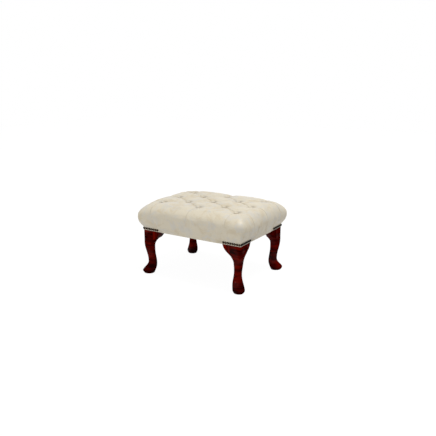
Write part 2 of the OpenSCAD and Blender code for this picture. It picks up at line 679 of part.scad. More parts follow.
long_rail(-1);  // rail_front
long_rail(1);  // rail_back
short_rail(-1);  // rail_left
short_rail(1);  // rail_right
rail_dowels();
for (c = CORNERS) {
    corner_block(c);
    leg(c);
    long_bracket(c);
    short_bracket(c);
    nails(c);
}
corner_block_screws();
leg_studs();
leg_washers();
leg_nuts();
seat_board();
seat_board_screws();
foam_pad();
wadding();
leather_cover();
buttons();
button_twine();
twine_toggles();
hem_staples();
dust_cover();
dust_cover_staples();
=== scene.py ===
import math

import bpy
import numpy as np
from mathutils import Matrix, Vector


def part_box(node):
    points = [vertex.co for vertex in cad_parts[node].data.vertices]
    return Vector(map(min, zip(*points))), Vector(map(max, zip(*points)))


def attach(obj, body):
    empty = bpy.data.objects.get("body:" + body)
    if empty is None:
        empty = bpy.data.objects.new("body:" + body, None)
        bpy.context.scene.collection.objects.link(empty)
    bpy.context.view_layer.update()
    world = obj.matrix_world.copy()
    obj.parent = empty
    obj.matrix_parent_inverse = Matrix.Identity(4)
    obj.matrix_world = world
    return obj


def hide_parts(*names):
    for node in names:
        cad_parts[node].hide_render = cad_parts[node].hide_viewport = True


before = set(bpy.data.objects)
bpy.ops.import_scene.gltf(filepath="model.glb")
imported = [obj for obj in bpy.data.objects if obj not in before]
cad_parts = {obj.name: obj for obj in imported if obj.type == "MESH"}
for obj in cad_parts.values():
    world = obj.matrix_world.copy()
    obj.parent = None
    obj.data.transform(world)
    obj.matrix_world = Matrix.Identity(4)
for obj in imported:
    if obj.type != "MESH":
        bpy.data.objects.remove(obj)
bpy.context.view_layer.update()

# Seat frame: four beech rails, the long ones running right through and the short ones dowelled
# between them, with a beech block glued and screwed into each inner corner.


class Socket:
    """A socket in a sum: tone * 2 + other adds its Math nodes, or Vector Math nodes for a vector."""

    def __init__(self, tree, socket):
        self.tree = tree
        self.socket = socket

    def combined(self, operation, first, second):
        """Adds an operator's node, of the kind that its two sides need."""
        vector = any(isinstance(x, Socket) and x.socket.type == "VECTOR" for x in (first, second))
        if vector:
            first, second = ((x, x, x) if isinstance(x, (int, float)) else x for x in (first, second))
        kind = "ShaderNodeVectorMath" if vector else "ShaderNodeMath"
        return self.tree.node(kind, {"operation": operation}, {0: first, 1: second})

    def __add__(self, other):
        return self.combined("ADD", self, other)

    def __radd__(self, other):
        return self.combined("ADD", other, self)

    def __sub__(self, other):
        return self.combined("SUBTRACT", self, other)

    def __rsub__(self, other):
        return self.combined("SUBTRACT", other, self)

    def __mul__(self, other):
        return self.combined("MULTIPLY", self, other)

    def __rmul__(self, other):
        return self.combined("MULTIPLY", other, self)

    def __truediv__(self, other):
        return self.combined("DIVIDE", self, other)

    def __rtruediv__(self, other):
        return self.combined("DIVIDE", other, self)


class Tree:
    """A node tree, whose method node adds any node to it."""

    def __init__(self, tree):
        self.tree = tree

    def node(self, kind, settings=None, sockets=None, out=0):
        """Adds a node and gives one of its outputs. Its settings come first, because they can
        change its sockets."""
        node = self.tree.nodes.new(kind)
        for name, value in (settings or {}).items():
            setattr(node, name, value)
        self.fill(node, sockets or {})
        return Socket(self, node.outputs[out])

    def fill(self, node, sockets):
        """Gives a node's sockets their values or links."""
        for name, value in sockets.items():
            if isinstance(value, (Socket, list)):
                for link in value if isinstance(value, list) else [value]:
                    self.tree.links.new(link.socket, node.inputs[name])
            elif isinstance(value, tuple) and len(value) == 3 and node.inputs[name].type == "RGBA":
                node.inputs[name].default_value = (*value, 1)
            else:
                node.inputs[name].default_value = value

    def maths(self, operation, *values):
        """What the operators don't say, such as a sine or the greater of two values."""
        return self.node("ShaderNodeMath", {"operation": operation}, dict(enumerate(values)))

    def part(self, vector, axis):
        """The X, Y or Z of a vector."""
        return self.node("ShaderNodeSeparateXYZ", None, {0: vector}, out=axis)


class Finish(Tree):
    """A material. Constants go to the shader's own sockets, and wear() links what varies."""

    def __init__(self, name, **constants):
        self.material = bpy.data.materials.new(name)
        self.material.use_nodes = True
        super().__init__(self.material.node_tree)
        self.shader = self.tree.nodes["Principled BSDF"]
        self.fill(self.shader, {key.replace("_", " "): value for key, value in constants.items()})
        self.place = self.node("ShaderNodeTexCoord", out="Object")

    def noise(self, scale, detail=2.0, roughness=0.5, stretch=(1, 1, 1), shift=(0, 0, 0), distortion=0.0):
        """Noise from 0 to 1 on the piece's own place, drawn out where stretch is small."""
        where = self.node("ShaderNodeMapping", None,
            {"Vector": self.place, "Scale": stretch, "Location": shift})
        return self.node("ShaderNodeTexNoise", None, {"Vector": where, "Scale": scale,
            "Detail": detail, "Roughness": roughness, "Distortion": distortion})

    def between(self, value, low, high):
        """0 below low, 1 above high, and a soft step between them."""
        return self.node("ShaderNodeMapRange", {"interpolation_type": "SMOOTHSTEP"},
            {"Value": value, "From Min": low, "From Max": high})

    def mix(self, share, first, second):
        """Two colours mixed: the first where share is 0, the second where it is 1."""
        return self.node("ShaderNodeMix", {"data_type": "RGBA"}, {0: share, 6: first, 7: second}, out=2)

    def bump(self, height, distance, strength=1.0, onto=None):
        """A relief of that height in metres, laid on the surface or onto another relief."""
        sockets = {"Height": height, "Distance": distance, "Strength": strength}
        if onto is not None:
            sockets["Normal"] = onto
        return self.node("ShaderNodeBump", None, sockets)

    def wear(self, **varying):
        """Links what varies over the surface, and gives the finished material."""
        self.fill(self.shader, {key.replace("_", " "): value for key, value in varying.items()})
        return self.material


def dress(node_name, material):
    """Gives a CAD node its material."""
    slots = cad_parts[node_name].data.materials
    slots.clear()
    slots.append(material)


BEECH_PALE = (0.60, 0.42, 0.26)
BEECH_DARK = (0.42, 0.26, 0.14)
BEECH_FLECK = (0.30, 0.17, 0.09)


def beech(name, along):
    """Beech with its grain along one axis: broad soft rings, fine lines and short dark flecks."""
    wood = Finish(name, Specular_IOR_Level=0.3)
    drawn = tuple(1.0 if axis == along else 9.0 for axis in "XYZ")
    fleck_drawn = tuple(1.6 if axis == along else 9.0 for axis in "XYZ")
    rings = wood.noise(9, 3, 0.6, drawn, distortion=0.6)
    lines = wood.noise(70, 2, 0.6, drawn)
    flecks = wood.between(wood.noise(160, 1, 0.4, fleck_drawn), 0.66, 0.72)
    tone = wood.mix(wood.between(rings * 0.7 + lines * 0.3, 0.35, 0.65), BEECH_PALE, BEECH_DARK)
    colour = wood.mix(flecks * 0.6, tone, BEECH_FLECK)
    return wood.wear(Base_Color=colour, Roughness=0.62 + lines * 0.15,
        Normal=wood.bump(lines - flecks * 0.5, 0.0003, 0.5))


beech_along_x = beech("beech_lengthways", "X")
beech_along_y = beech("beech_crossways", "Y")
for name in ("rail_front", "rail_back"):
    dress(name, beech_along_x)
for name in ("rail_left", "rail_right", "rail_dowels"):
    dress(name, beech_along_y)
CORNERS = {"front_left": (-1, -1), "front_right": (1, -1), "back_left": (-1, 1), "back_right": (1, 1)}
for corner in CORNERS:
    dress(f"corner_block_{corner}", beech_along_x)

# Seat board: a sheet of birch plywood screwed down on the rails, with its plies showing at the edge.
# The pad is laid on it, and the button twine comes through its holes.
PLY_THICKNESS = 0.0018
BIRCH_PALE, BIRCH_FIGURE = (0.62, 0.46, 0.29), (0.47, 0.32, 0.18)
PLY_PALE, PLY_DARK = (0.50, 0.35, 0.20), (0.20, 0.12, 0.06)
board_low, board_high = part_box("seat_board")


def plywood():
    """Birch plywood: a broad figure on its faces, and pale and dark plies by turns at its edge."""
    wood = Finish("birch_plywood", Specular_IOR_Level=0.3)
    upright = wood.part(wood.place, "Z")
    facing = wood.part(wood.node("ShaderNodeNewGeometry", out="Normal"), "Z")
    ply = wood.maths("PINGPONG", (upright - board_low.z) / PLY_THICKNESS, 1.0)
    figure = wood.noise(5, 4, 0.6, (1, 7, 7), distortion=1.2)
    pores = wood.noise(90, 2, 0.6, (1, 9, 9))
    face = wood.mix(wood.between(figure, 0.35, 0.7), BIRCH_PALE, BIRCH_FIGURE)
    edge = wood.mix(wood.between(ply, 0.35, 0.65), PLY_PALE, PLY_DARK)
    level = wood.maths("ABSOLUTE", facing)
    return wood.wear(Base_Color=wood.mix(wood.between(level, 0.4, 0.6), edge, face),
        Roughness=0.6 + pores * 0.2, Normal=wood.bump(pores + figure * 0.5, 0.0003, 0.4))


dress("seat_board", plywood())

# Steel: countersunk wood screws in the board and the blocks, and a stud, a washer and a nut for
# each leg. All are zinc plated, with rolled threads.
THREAD_PITCH = 0.00125
ZINC_BRIGHT, ZINC_DULL = (0.62, 0.62, 0.60), (0.44, 0.44, 0.43)


def zinc(name, threaded):
    """Zinc plate: dull bright grey with a spangle. A thread is a ripple that climbs round the shank."""
    steel = Finish(name, Metallic=1.0)
    spangle = steel.noise(420, 3, 0.6)
    cloud = steel.noise(60, 2)
    relief = steel.bump(spangle, 0.0001, 0.3)
    if threaded:
        ripple = steel.maths("SINE", steel.part(steel.place, "Z") * (2 * math.pi / THREAD_PITCH))
        relief = steel.bump(ripple, 0.0002, 0.8, relief)
    return steel.wear(Base_Color=steel.mix(cloud, ZINC_BRIGHT, ZINC_DULL),
        Roughness=0.28 + spangle * 0.2, Normal=relief)


zinc_plate = zinc("zinc_plate", threaded=False)
zinc_thread = zinc("zinc_thread", threaded=True)
for name in ("leg_washers", "leg_nuts"):
    dress(name, zinc_plate)
for name in ("corner_block_screws", "leg_studs", "seat_board_screws"):
    dress(name, zinc_thread)

# Legs: four cabriole legs with pad feet, bandsawn and turned from solid mahogany, stained a deep red
# and polished. Each is square at the top, where its stud screws in, and stands under a frame corner.
LEG_SQUARE = 0.051
TOE_REACH, HEEL_REACH, INSTEP_REACH = 0.046, 0.0215, 0.018
CALF_REACH, KNEE_REACH, KNEE_HALF = 0.0146, 0.035, 0.45 * LEG_SQUARE
FOOT_WIDTH, ANKLE_WIDTH = 0.053, 0.034
FOOT_Z, HEEL_Z, INSTEP_Z, ANKLE_Z, CALF_Z, KNEE_Z = 0.013, 0.044, 0.056, 0.086, 0.113, 0.155
FOOT_ROLL, HEEL_ROLL, SIDE_ROLL = 0.008, 0.0136, 0.0056
TOE_FORM, SIDE_FORM = 0.75, 0.9
BRACKET_HEIGHT = 0.045
ABOVE_CALF, SQUARE_FORM, SQUARE_SOFT = 0.015, 2.2, 0.003
ARRIS_FORM, INNER_FORM, DRAWN_TO_ARRIS = 12, 90, 0.15
FOOT_RINGS, STEM_RINGS, SQUARE_RINGS, LEG_SIDES = 10, 66, 6, 96
rail_low, rail_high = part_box("rail_front")
half_x, half_y = rail_high.x, -rail_low.y
leg_top = rail_low.z
bracket_z = leg_top - BRACKET_HEIGHT
square_z = CALF_Z + ABOVE_CALF
leg_x, leg_y = half_x - LEG_SQUARE / 2, half_y - LEG_SQUARE / 2


def ease(first, last, share):
    """A value that leaves the first softly and comes softly to the last."""
    return first + (last - first) * (1 - np.cos(np.pi * np.clip(share, 0, 1))) / 2


def share_of(value, first, last):
    """How far a value has come from the first to the last, from 0 to 1."""
    return np.clip((value - first) / (last - first), 0, 1)


def rolled(z, top):
    """How much of the roll under the foot is left at a height."""
    return 1 - np.sin(np.pi / 2 * np.clip(z / top, 0, 1))


def soft_least(value, limit, soft):
    """The value, kept under a limit with a rounded turn."""
    share = np.clip(0.5 + 0.5 * (limit - value) / soft, 0, 1)
    return limit + (value - limit) * share - soft * share * (1 - share)


def leg_ring(z, turn):
    """The leg's outline at a height, turn round from its front, which faces out along the diagonal."""
    if z < INSTEP_Z:
        front = ease(TOE_REACH, INSTEP_REACH, share_of(z, FOOT_Z, INSTEP_Z) ** TOE_FORM)
    else:
        front = ease(INSTEP_REACH, KNEE_REACH, share_of(z, INSTEP_Z, KNEE_Z))
    back = ease(HEEL_REACH, CALF_REACH, share_of(z, HEEL_Z, CALF_Z))
    if z < ANKLE_Z:
        side = ease(FOOT_WIDTH / 2, ANKLE_WIDTH / 2, share_of(z, FOOT_Z, ANKLE_Z) ** SIDE_FORM)
    else:
        side = ease(ANKLE_WIDTH / 2, KNEE_HALF, share_of(z, ANKLE_Z, bracket_z))
    front -= FOOT_ROLL * rolled(z, FOOT_Z)
    back -= HEEL_ROLL * rolled(z, HEEL_Z)
    side -= SIDE_ROLL * rolled(z, FOOT_Z)
    stem_x = (front - back) / 2 + (front + back) / 2 * np.cos(turn)
    stem_y = side * np.sin(turn)
    stem = np.stack([stem_x - stem_y, stem_x + stem_y], 1) / math.sqrt(2)
    if z > INSTEP_Z:
        stem = soft_least(stem, LEG_SQUARE / 2, SQUARE_SOFT)
    form = np.where(np.cos(turn) > math.cos(math.pi / 4), ARRIS_FORM, INNER_FORM)
    across, along = np.abs(np.cos(turn + math.pi / 4)), np.abs(np.sin(turn + math.pi / 4))
    reach = LEG_SQUARE / 2 / (across ** form + along ** form) ** (1 / form)
    square = np.stack([reach * np.cos(turn + math.pi / 4), reach * np.sin(turn + math.pi / 4)], 1)
    share = share_of(z, square_z, bracket_z) ** SQUARE_FORM
    return (1 - share) * stem + share * square


def lofted(rings):
    """Points and faces of a skin through closed rings of equal count, with a face over each end."""
    rings = np.asarray(rings)
    index = np.arange(rings.shape[0] * rings.shape[1]).reshape(rings.shape[:2])
    beside = np.roll(index, -1, axis=1)
    walls = np.stack([index[:-1], beside[:-1], beside[1:], index[1:]], -1).reshape(-1, 4).tolist()
    return rings.reshape(-1, 3), walls + [index[0, ::-1].tolist(), index[-1].tolist()]


def make_piece(name, points, faces, material, slot, stands_for, sharp=math.radians(40)):
    """A mesh piece that rides on the stool and stands for CAD nodes. Edges turned past sharp stay crisp."""
    mesh = bpy.data.meshes.new(name)
    mesh.from_pydata(np.asarray(points).tolist(), [], faces)
    mesh.materials.append(material)
    mesh.shade_smooth()
    mesh.set_sharp_from_angle(angle=sharp)
    piece = bpy.data.objects.new(name, mesh)
    bpy.context.scene.collection.objects.link(piece)
    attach(piece, "root")
    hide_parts(*stands_for)
    return piece


MAHOGANY_RED = (0.152, 0.0040, 0.0009)
MAHOGANY_DEEP = (0.050, 0.0014, 0.0005)
MAHOGANY_BLACK = (0.014, 0.0004, 0.0003)
FOOT_DARKER, POLISH = 0.07, 0.09


def mahogany(name, along):
    """Red-stained mahogany: pores drawn along the grain, a dark ripple figure across it,
    darker feet, and polish in patches."""
    wood = Finish(name, Specular_IOR_Level=0.0, Coat_Roughness=0.22)
    with_grain = tuple(0.12 if axis == along else 1.0 for axis in "XYZ")
    across_grain = tuple(1.0 if axis == along else 0.22 for axis in "XYZ")
    ripple = wood.noise(62, 2, 0.55, across_grain, distortion=0.8)
    band = wood.noise(27, 2, 0.5, across_grain, shift=(3, 1, 2), distortion=0.5)
    polish = wood.between(wood.noise(16, 1, 0.5), 0.50, 0.62)
    pores = wood.noise(420, 2, 0.6, with_grain)
    up = wood.part(wood.place, "Z")
    figure = ripple * 0.5 + band * 0.5 - (1 - wood.between(up, 0.0, ANKLE_Z)) * FOOT_DARKER
    stain = wood.mix(wood.between(figure, 0.44, 0.62), MAHOGANY_DEEP, MAHOGANY_RED)
    stain = wood.mix(wood.between(figure, 0.45, 0.36), stain, MAHOGANY_BLACK)
    stain = wood.mix(wood.between(pores, 0.56, 0.70) * 0.45, stain, MAHOGANY_BLACK)
    return wood.wear(Base_Color=stain, Roughness=0.24 + pores * 0.10, Coat_Weight=polish * POLISH,
        Normal=wood.bump(pores + band, 0.00015, 0.35))


mahogany_upright = mahogany("mahogany_upright", "Z")
even_turns = np.linspace(0, 2 * math.pi, LEG_SIDES, endpoint=False)
turns = even_turns - DRAWN_TO_ARRIS * np.sin(4 * even_turns)
foot_heights = FOOT_Z * (1 - np.cos(np.linspace(0, math.pi / 2, FOOT_RINGS)))
stem_heights = np.linspace(FOOT_Z, bracket_z, STEM_RINGS)[1:]
square_heights = np.linspace(bracket_z, leg_top, SQUARE_RINGS)[1:]
leg_heights = [*foot_heights, *stem_heights, *square_heights]
leg_rings = np.array([np.column_stack([leg_ring(z, turns) + (leg_x, leg_y), np.full(LEG_SIDES, z)])
    for z in leg_heights])
for corner, (way_x, way_y) in CORNERS.items():
    rings = leg_rings * (way_x, way_y, 1)
    make_piece(f"leg_{corner}_carved", *lofted(rings[:, ::way_x * way_y]), mahogany_upright,
        "mahogany", [f"leg_{corner}"])

# Knee brackets: eight mahogany ears glued to the legs and under the rails, sawn to a hollow curve
# that runs on from the leg, with the lower front edge worked round.
BRACKET_REACH, BRACKET_THICKNESS = 0.088, 0.044
SAWN_STRAIGHT, SAWN_FORM = 0.35, 2.6
EDGE_ROUND, BACK_ROUND, TIP_HEIGHT = 0.0065, 0.0015, 0.0012
ROUND_AT_LEG, ROUND_GROWN, FRONT_SHARE, BACK_SHARE = 0.08, 0.4, 0.6, 0.3
BRACKET_STEPS, ROUND_STEPS = 40, 6
BRACKET_SHARP = math.radians(50)


def bracket_rings():
    """Outlines across a bracket, from the leg to the tip: distance from the stool's corner,
    depth, height. The round on the front edge grows from the leg, and both rounds fit the tip."""
    bend = np.linspace(0, math.pi / 2, ROUND_STEPS + 1)
    inward, upward = 1 - np.sin(bend), 1 - np.cos(bend)
    rings = []
    for share in np.sin(np.linspace(0, math.pi / 2, BRACKET_STEPS + 1)):
        hollow = 1 - math.sqrt(1 - share ** SAWN_FORM)
        rise = BRACKET_HEIGHT * (SAWN_STRAIGHT * share + (1 - SAWN_STRAIGHT) * hollow)
        low = min(bracket_z + rise, leg_top - TIP_HEIGHT)
        far = LEG_SQUARE + (BRACKET_REACH - LEG_SQUARE) * share
        grown = EDGE_ROUND * ease(ROUND_AT_LEG, 1, share / ROUND_GROWN)
        front = min(grown, FRONT_SHARE * (leg_top - low))
        back = min(BACK_ROUND, BACK_SHARE * (leg_top - low))
        deep = [0, *(front * inward)[::-1], *(BRACKET_THICKNESS - back * inward), BRACKET_THICKNESS]
        high = [leg_top, *(low + front * upward)[::-1], *(low + back * upward), leg_top]
        rings.append(np.column_stack([np.full(len(deep), far), deep, high]))
    return np.array(rings)


mahogany_along_x = mahogany("mahogany_lengthways", "X")
mahogany_along_y = mahogany("mahogany_crossways", "Y")
ear = bracket_rings()
for corner, (way_x, way_y) in CORNERS.items():
    along_x = np.stack([way_x * (half_x - ear[..., 0]), way_y * (half_y - ear[..., 1]), ear[..., 2]], -1)
    along_y = np.stack([way_x * (half_x - ear[..., 1]), way_y * (half_y - ear[..., 0]), ear[..., 2]], -1)
    facing = way_x * way_y
    make_piece(f"long_bracket_{corner}_carved", *lofted(along_x[:, ::facing]), mahogany_along_x,
        "mahogany", [f"long_bracket_{corner}"], BRACKET_SHARP)
    make_piece(f"short_bracket_{corner}_carved", *lofted(along_y[:, ::-facing]), mahogany_along_y,
        "mahogany", [f"short_bracket_{corner}"], BRACKET_SHARP)

# Pad: a block of upholstery foam on the board, crowned and overhanging it all round, with thirteen
# wells for the buttons, and a layer of soft white wadding drawn over it and down the rails.
BUTTON_COLUMN, BUTTON_ROW = 0.0971, 0.0617
PUFF_CROWN, PLEAT_DEPTH, WELL_DEPTH = 0.0060, 0.0018, 0.0032
PLEAT_WIDTH, PLEAT_EASE = 0.006, 0.45
WELL_FLAT, WELL_WIDTH, WELL_FORM = 0.0090, 0.0100, 1.6
SHOULDER_WIDTH, SHOULDER_FORM = (0.058, 0.046, 0.056, 0.056), 2.4
BORDER_FALL = (0.009, 0.011, 0.024, 0.016)
CORNER_SLUMP = (0.20, 0.95, 0.86, 0.78)
CORNER_EASE, CORNER_WELL, CORNER_FORM = 0.20, 0.55, 0.7
FULLEST, CORNER_LOWER = (0.026, 0.009, 0.010, 0.010), (0.002, 0.005, 0.010, 0.0135)
SWELL_CORNER, HEM_CORNER, HEM_HEIGHT = 0.032, 0.005, 0.0145
NAILED_FORM, FREE_FORM = 1.8, 1.15
PLEAT_NARROWING, PLEAT_FADE, LEAN_FORM = 2.6, 0.95, 2.0
NAILED_TO, FREE_FROM, FREE_Z = 0.090, 0.125, 0.0005
SOFT_GAP, LEATHER, WADDING = 0.0003, 0.0014, 0.006
LINE_PULL, CORNER_STEPS = 0.3, 1.7
BUTTONS = [(column * BUTTON_COLUMN, row * BUTTON_ROW) for row in range(-2, 3) for column in range(-2, 3)
    if (row + column) % 2 == 0]
cover_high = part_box("leather_cover")[1]
pad_top = cover_high.z
full_rise = PUFF_CROWN + PLEAT_DEPTH + WELL_DEPTH
button_z = pad_top - full_rise
pleats_apart = 2 / math.hypot(1 / BUTTON_COLUMN, 1 / BUTTON_ROW)
swell_z = rail_high.z
hem_z = rail_low.z + HEM_HEIGHT
skin = SOFT_GAP + LEATHER
hem_half = (half_x + skin, half_y + skin)
swell = cover_high.x - hem_half[0]
button_half = (2 * BUTTON_COLUMN, 2 * BUTTON_ROW)
border = (hem_half[0] - button_half[0] + hem_half[1] - button_half[1]) / 2 + swell
flat_share = 1 - SHOULDER_WIDTH[0] / border


def mesh_lines(cells):
    """Mesh lines between the outer buttons, counted in button steps and drawn together at each."""
    even = np.linspace(-2, 2, 4 * cells + 1)
    return even - LINE_PULL * np.sin(2 * math.pi * even) / (2 * math.pi)


def from_button(across, along):
    """Distance from the nearest button of a place counted in button steps."""
    places = [np.hypot(across * BUTTON_COLUMN - x, along * BUTTON_ROW - y) for x, y in BUTTONS]
    return np.min(places, axis=0)


def from_pleats(across, along):
    """Places either side of the nearest pleat, for the pleats that run to the front right and
    for the others."""
    ways = np.array([(across + along) / 2, (across - along) / 2])
    return pleats_apart * (ways - np.round(ways))


def from_pleat(across, along):
    """Distance from the nearest pleat of either kind."""
    return np.abs(from_pleats(across, along)).min(axis=0)


def tufting(across, along):
    """The form between the buttons, from 0 in a button seat to 1 on the top of a puff."""
    crown = np.abs(np.sin(math.pi * (across + along) / 2) * np.sin(math.pi * (across - along) / 2))
    well = np.exp(-(np.maximum(from_button(across, along) - WELL_FLAT, 0) / WELL_WIDTH) ** WELL_FORM)
    pleat = np.exp(-from_pleat(across, along) / PLEAT_WIDTH) * (1 - PLEAT_EASE + PLEAT_EASE * well)
    return (PUFF_CROWN * crown + PLEAT_DEPTH * (1 - pleat) + WELL_DEPTH * (1 - well)) / full_rise


def round_corner(share, near, far, radius):
    """An outline round a corner from beside the outer button to beyond it: each point's place
    and the way it faces."""
    first, last = far[0] - radius - near[0], far[1] - radius - near[1]
    bend = radius * math.pi / 2
    gone = share * (first + bend + last)
    angle = np.clip((gone - first) / radius, 0, math.pi / 2)
    along = near[0] + np.clip(gone, 0, first) + radius * np.sin(angle)
    out = far[1] - radius * (1 - np.cos(angle)) - np.clip(gone - first - bend, 0, last)
    return np.array([along, out]), np.array([np.sin(angle), np.cos(angle)])


class Pad:
    """The pad's skin: a grid between the outer buttons, and spokes from there over the sides.
    It is worked out at any fineness, fullness and depth, so that foam, wadding and leather nest."""

    def __init__(self, cells, fullness=1.0, deeper=0.0):
        self.cells = cells
        self.full = fullness * full_rise
        self.deep = self.full + deeper
        self.lines = mesh_lines(cells)
        steps = round(CORNER_STEPS * cells)
        self.corner = np.arange(1, steps) / steps
        self.cornering = np.tile(np.concatenate([0 * self.lines, np.sin(math.pi * self.corner)]), 4)
        runs, edges, free = [], [], []
        for side in range(4):
            along, out = button_half[side % 2], button_half[1 - side % 2]
            run = np.concatenate([along * self.lines / 2, along + 0 * self.corner])
            runs.append((run, out + 0 * run))
            edge = tufting(2, self.lines) if side % 2 else tufting(self.lines, 2)
            edges += [*edge, *(0 * self.corner)]
            from_corner = hem_half[side % 2] - np.abs(along * self.lines / 2)
            free += [*ease(0, 1, share_of(from_corner, NAILED_TO, FREE_FROM)), *(0 * self.corner)]
        self.start = self.turned(runs)
        self.edge, self.free = np.array(edges), np.array(free)
        self.fall = self.by_side(BORDER_FALL)
        each = len(self.cornering) // 4
        slump = 1 + np.repeat(CORNER_SLUMP, each) * self.cornering
        self.width = self.by_side(SHOULDER_WIDTH) / border * slump
        self.fullest = swell_z + self.by_side(FULLEST) - np.repeat(CORNER_LOWER, each) * self.cornering

    def by_side(self, values):
        """One value for each side, brought to every spoke: at a corner it turns into the next side's."""
        sides = [np.concatenate([value + 0 * self.lines, ease(value, following, self.corner)])
            for value, following in zip(values, np.roll(values, -1))]
        return np.concatenate(sides)

    def turned(self, runs):
        """Places given along and out from each side in turn, as places on the stool."""
        places = []
        for side, (along, out) in enumerate(runs):
            ways = (along, -out), (out, along), (-along, out), (-out, -along)
            places.append(np.column_stack(ways[side]))
        return np.concatenate(places)

    def outline(self, out, radius):
        """Where the spokes cross an outline that stands out from the hem, and which way they face there."""
        runs, ways = [], []
        for side in range(4):
            near = button_half[side % 2], button_half[1 - side % 2]
            far = hem_half[side % 2] + out, hem_half[1 - side % 2] + out
            bent, turning = round_corner(self.corner, near, far, radius)
            runs.append(np.hstack([[near[0] * self.lines / 2, far[1] + 0 * self.lines], bent]))
            ways.append(np.hstack([[0 * self.lines, 1 + 0 * self.lines], turning]))
        return self.turned(runs), self.turned(ways)

    def top(self, depth=0.0):
        """The grid between the outer buttons."""
        across, along = np.meshgrid(self.lines, self.lines)
        height = button_z + self.full - self.deep * (1 - tufting(across, along))
        return np.stack([across * BUTTON_COLUMN, along * BUTTON_ROW, height - depth], -1)

    def shoulder_ring(self, share, depth=0.0):
        """A ring at a share of the way from the outer buttons to the fullest line of the sides."""
        end, way = self.outline(swell, SWELL_CORNER)
        across = np.clip((share - 1 + self.width) / self.width, 0, 1)
        form = SHOULDER_FORM - CORNER_EASE * self.cornering
        up = (1 - across ** form) ** (1 / form)
        in_corner = self.cornering ** CORNER_FORM * ease(0, 1, share / CORNER_WELL)
        wanting = np.clip(1 - self.edge - in_corner, 0, 1)
        lack = self.deep * wanting ** (1 + PLEAT_NARROWING * share) * (1 - share) ** PLEAT_FADE
        above = button_z + self.full - self.fall * share ** 2 - lack - self.fullest
        height = self.fullest + above * up
        lean = math.pi / 2 * across ** LEAN_FORM
        place = self.start + (end - self.start) * share - (depth * np.sin(lean))[:, None] * way
        return np.column_stack([place, height - depth * np.cos(lean)])

    def flank_ring(self, share, depth=0.0):
        """A ring at a share of the way down from the fullest line, where the sides draw in to the nailed
        hem at the corners, and further down to the rails' lower edges between the legs."""
        height = self.fullest + (hem_z - self.fullest) * share
        out = swell * (1 - share ** NAILED_FORM)
        place, way = self.outline(out, SWELL_CORNER + (HEM_CORNER - SWELL_CORNER) * share)
        further = self.free * self.fuller(height, out) - depth
        return np.column_stack([place + further[:, None] * way, height])

    def fuller(self, height, out):
        """How much further out the leather stands at a height where no nails hold it."""
        share = share_of(height, self.fullest, rail_low.z + FREE_Z)
        return swell * (1 - share ** FREE_FORM) - out

    def wall_ring(self, height, out, radius, free=False):
        """A level ring that stands out from the hem, and further where it is free of nails."""
        place, way = self.outline(out, radius)
        if free:
            place = place + (self.free * np.maximum(self.fuller(height, out), 0))[:, None] * way
        return np.column_stack([place, np.full(len(place), height)])

    def faces(self, rings):
        """Faces of the grid, split along the pleats, and of the rings round it."""
        count = len(self.lines)
        grid = np.arange(count * count).reshape(count, count)
        found = []
        for row in range(count - 1):
            for column in range(count - 1):
                a, b = grid[row, column], grid[row, column + 1]
                c, d = grid[row + 1, column + 1], grid[row + 1, column]
                falling = (row + column + 1) / (2 * self.cells) % 1
                rising = (column - row) / (2 * self.cells) % 1
                if min(falling, 1 - falling) < min(rising, 1 - rising):
                    found += [(a, b, d), (b, c, d)]
                else:
                    found += [(a, b, c), (a, c, d)]
        edge = []
        for line in (grid[0], grid[:, -1], grid[-1, ::-1], grid[::-1, 0]):
            edge += [*line, *[line[-1]] * len(self.corner)]
        inner = np.array(edge)
        for ring in range(rings):
            outer = count * count + ring * len(edge) + np.arange(len(edge))
            for a, d, b, c in zip(inner, np.roll(inner, -1), outer, np.roll(outer, -1)):
                found.append((a, b, c) if a == d else (a, b, c, d))
            inner = outer
        return [tuple(int(i) for i in face) for face in found], inner


FOAM_SLACK, WELL_SLACK = 0.001, 0.0009
PAD_CELLS, PAD_FULLNESS = 14, 0.90
PAD_FLAT_RINGS, PAD_ROUND_RINGS, PAD_LAST_ANGLE = 5, 11, 68
WADDING_DOWN, FACE_RINGS, BACK_RINGS = 0.83, 6, 5
foam_depth = skin + WADDING + SOFT_GAP
foam_swell = swell - foam_depth - FOAM_SLACK
foam_corner = SWELL_CORNER - foam_depth
wadding_z = swell_z + (hem_z - swell_z) * WADDING_DOWN


def shoulder_shares(flat_rings, round_rings, last_angle=90):
    """Shares of the border for its rings: even ones on the flat, and even angles round the shoulder."""
    flat = np.linspace(0, flat_share, flat_rings + 1)[1:]
    angles = np.radians(np.linspace(0, last_angle, round_rings + 1)[1:])
    return np.concatenate([flat, 1 - (1 - flat_share) * (1 - np.sin(angles) ** (2 / SHOULDER_FORM))])


FOAM_PALE, FOAM_DEEP, FOAM_CELL_SHADE = (0.66, 0.56, 0.30), (0.58, 0.47, 0.22), (0.33, 0.26, 0.11)
WADDING_WHITE, WADDING_GREY = (0.78, 0.77, 0.74), (0.60, 0.59, 0.56)


def upholstery_foam():
    """Cut foam: open cells under 1 mm across, pale yellow, with painted shade in the cells' pits."""
    foam = Finish("upholstery_foam", Roughness=0.95, Specular_IOR_Level=0.1)
    cells = foam.node("ShaderNodeTexVoronoi", None, {"Vector": foam.place, "Scale": 900.0})
    cloud = foam.noise(25, 2)
    tone = foam.mix(cloud, FOAM_PALE, FOAM_DEEP)
    # Painted shade: the pits of the open cells are painted darker.
    return foam.wear(Base_Color=foam.mix(foam.between(cells, 0.5, 0.1) * 0.5, tone, FOAM_CELL_SHADE),
        Normal=foam.bump(cells, 0.0005, 0.7))


def polyester_wadding():
    """Loose white wadding: tangled fibres, felted in soft hills."""
    wad = Finish("polyester_wadding", Roughness=0.95, Specular_IOR_Level=0.1)
    fibres = wad.noise(260, 4, 0.7, (1, 0.3, 1), distortion=2.5)
    hills = wad.noise(45, 3)
    return wad.wear(Base_Color=wad.mix(fibres, WADDING_WHITE, WADDING_GREY),
        Normal=wad.bump(fibres * 0.6 + hills, 0.0012, 0.6))


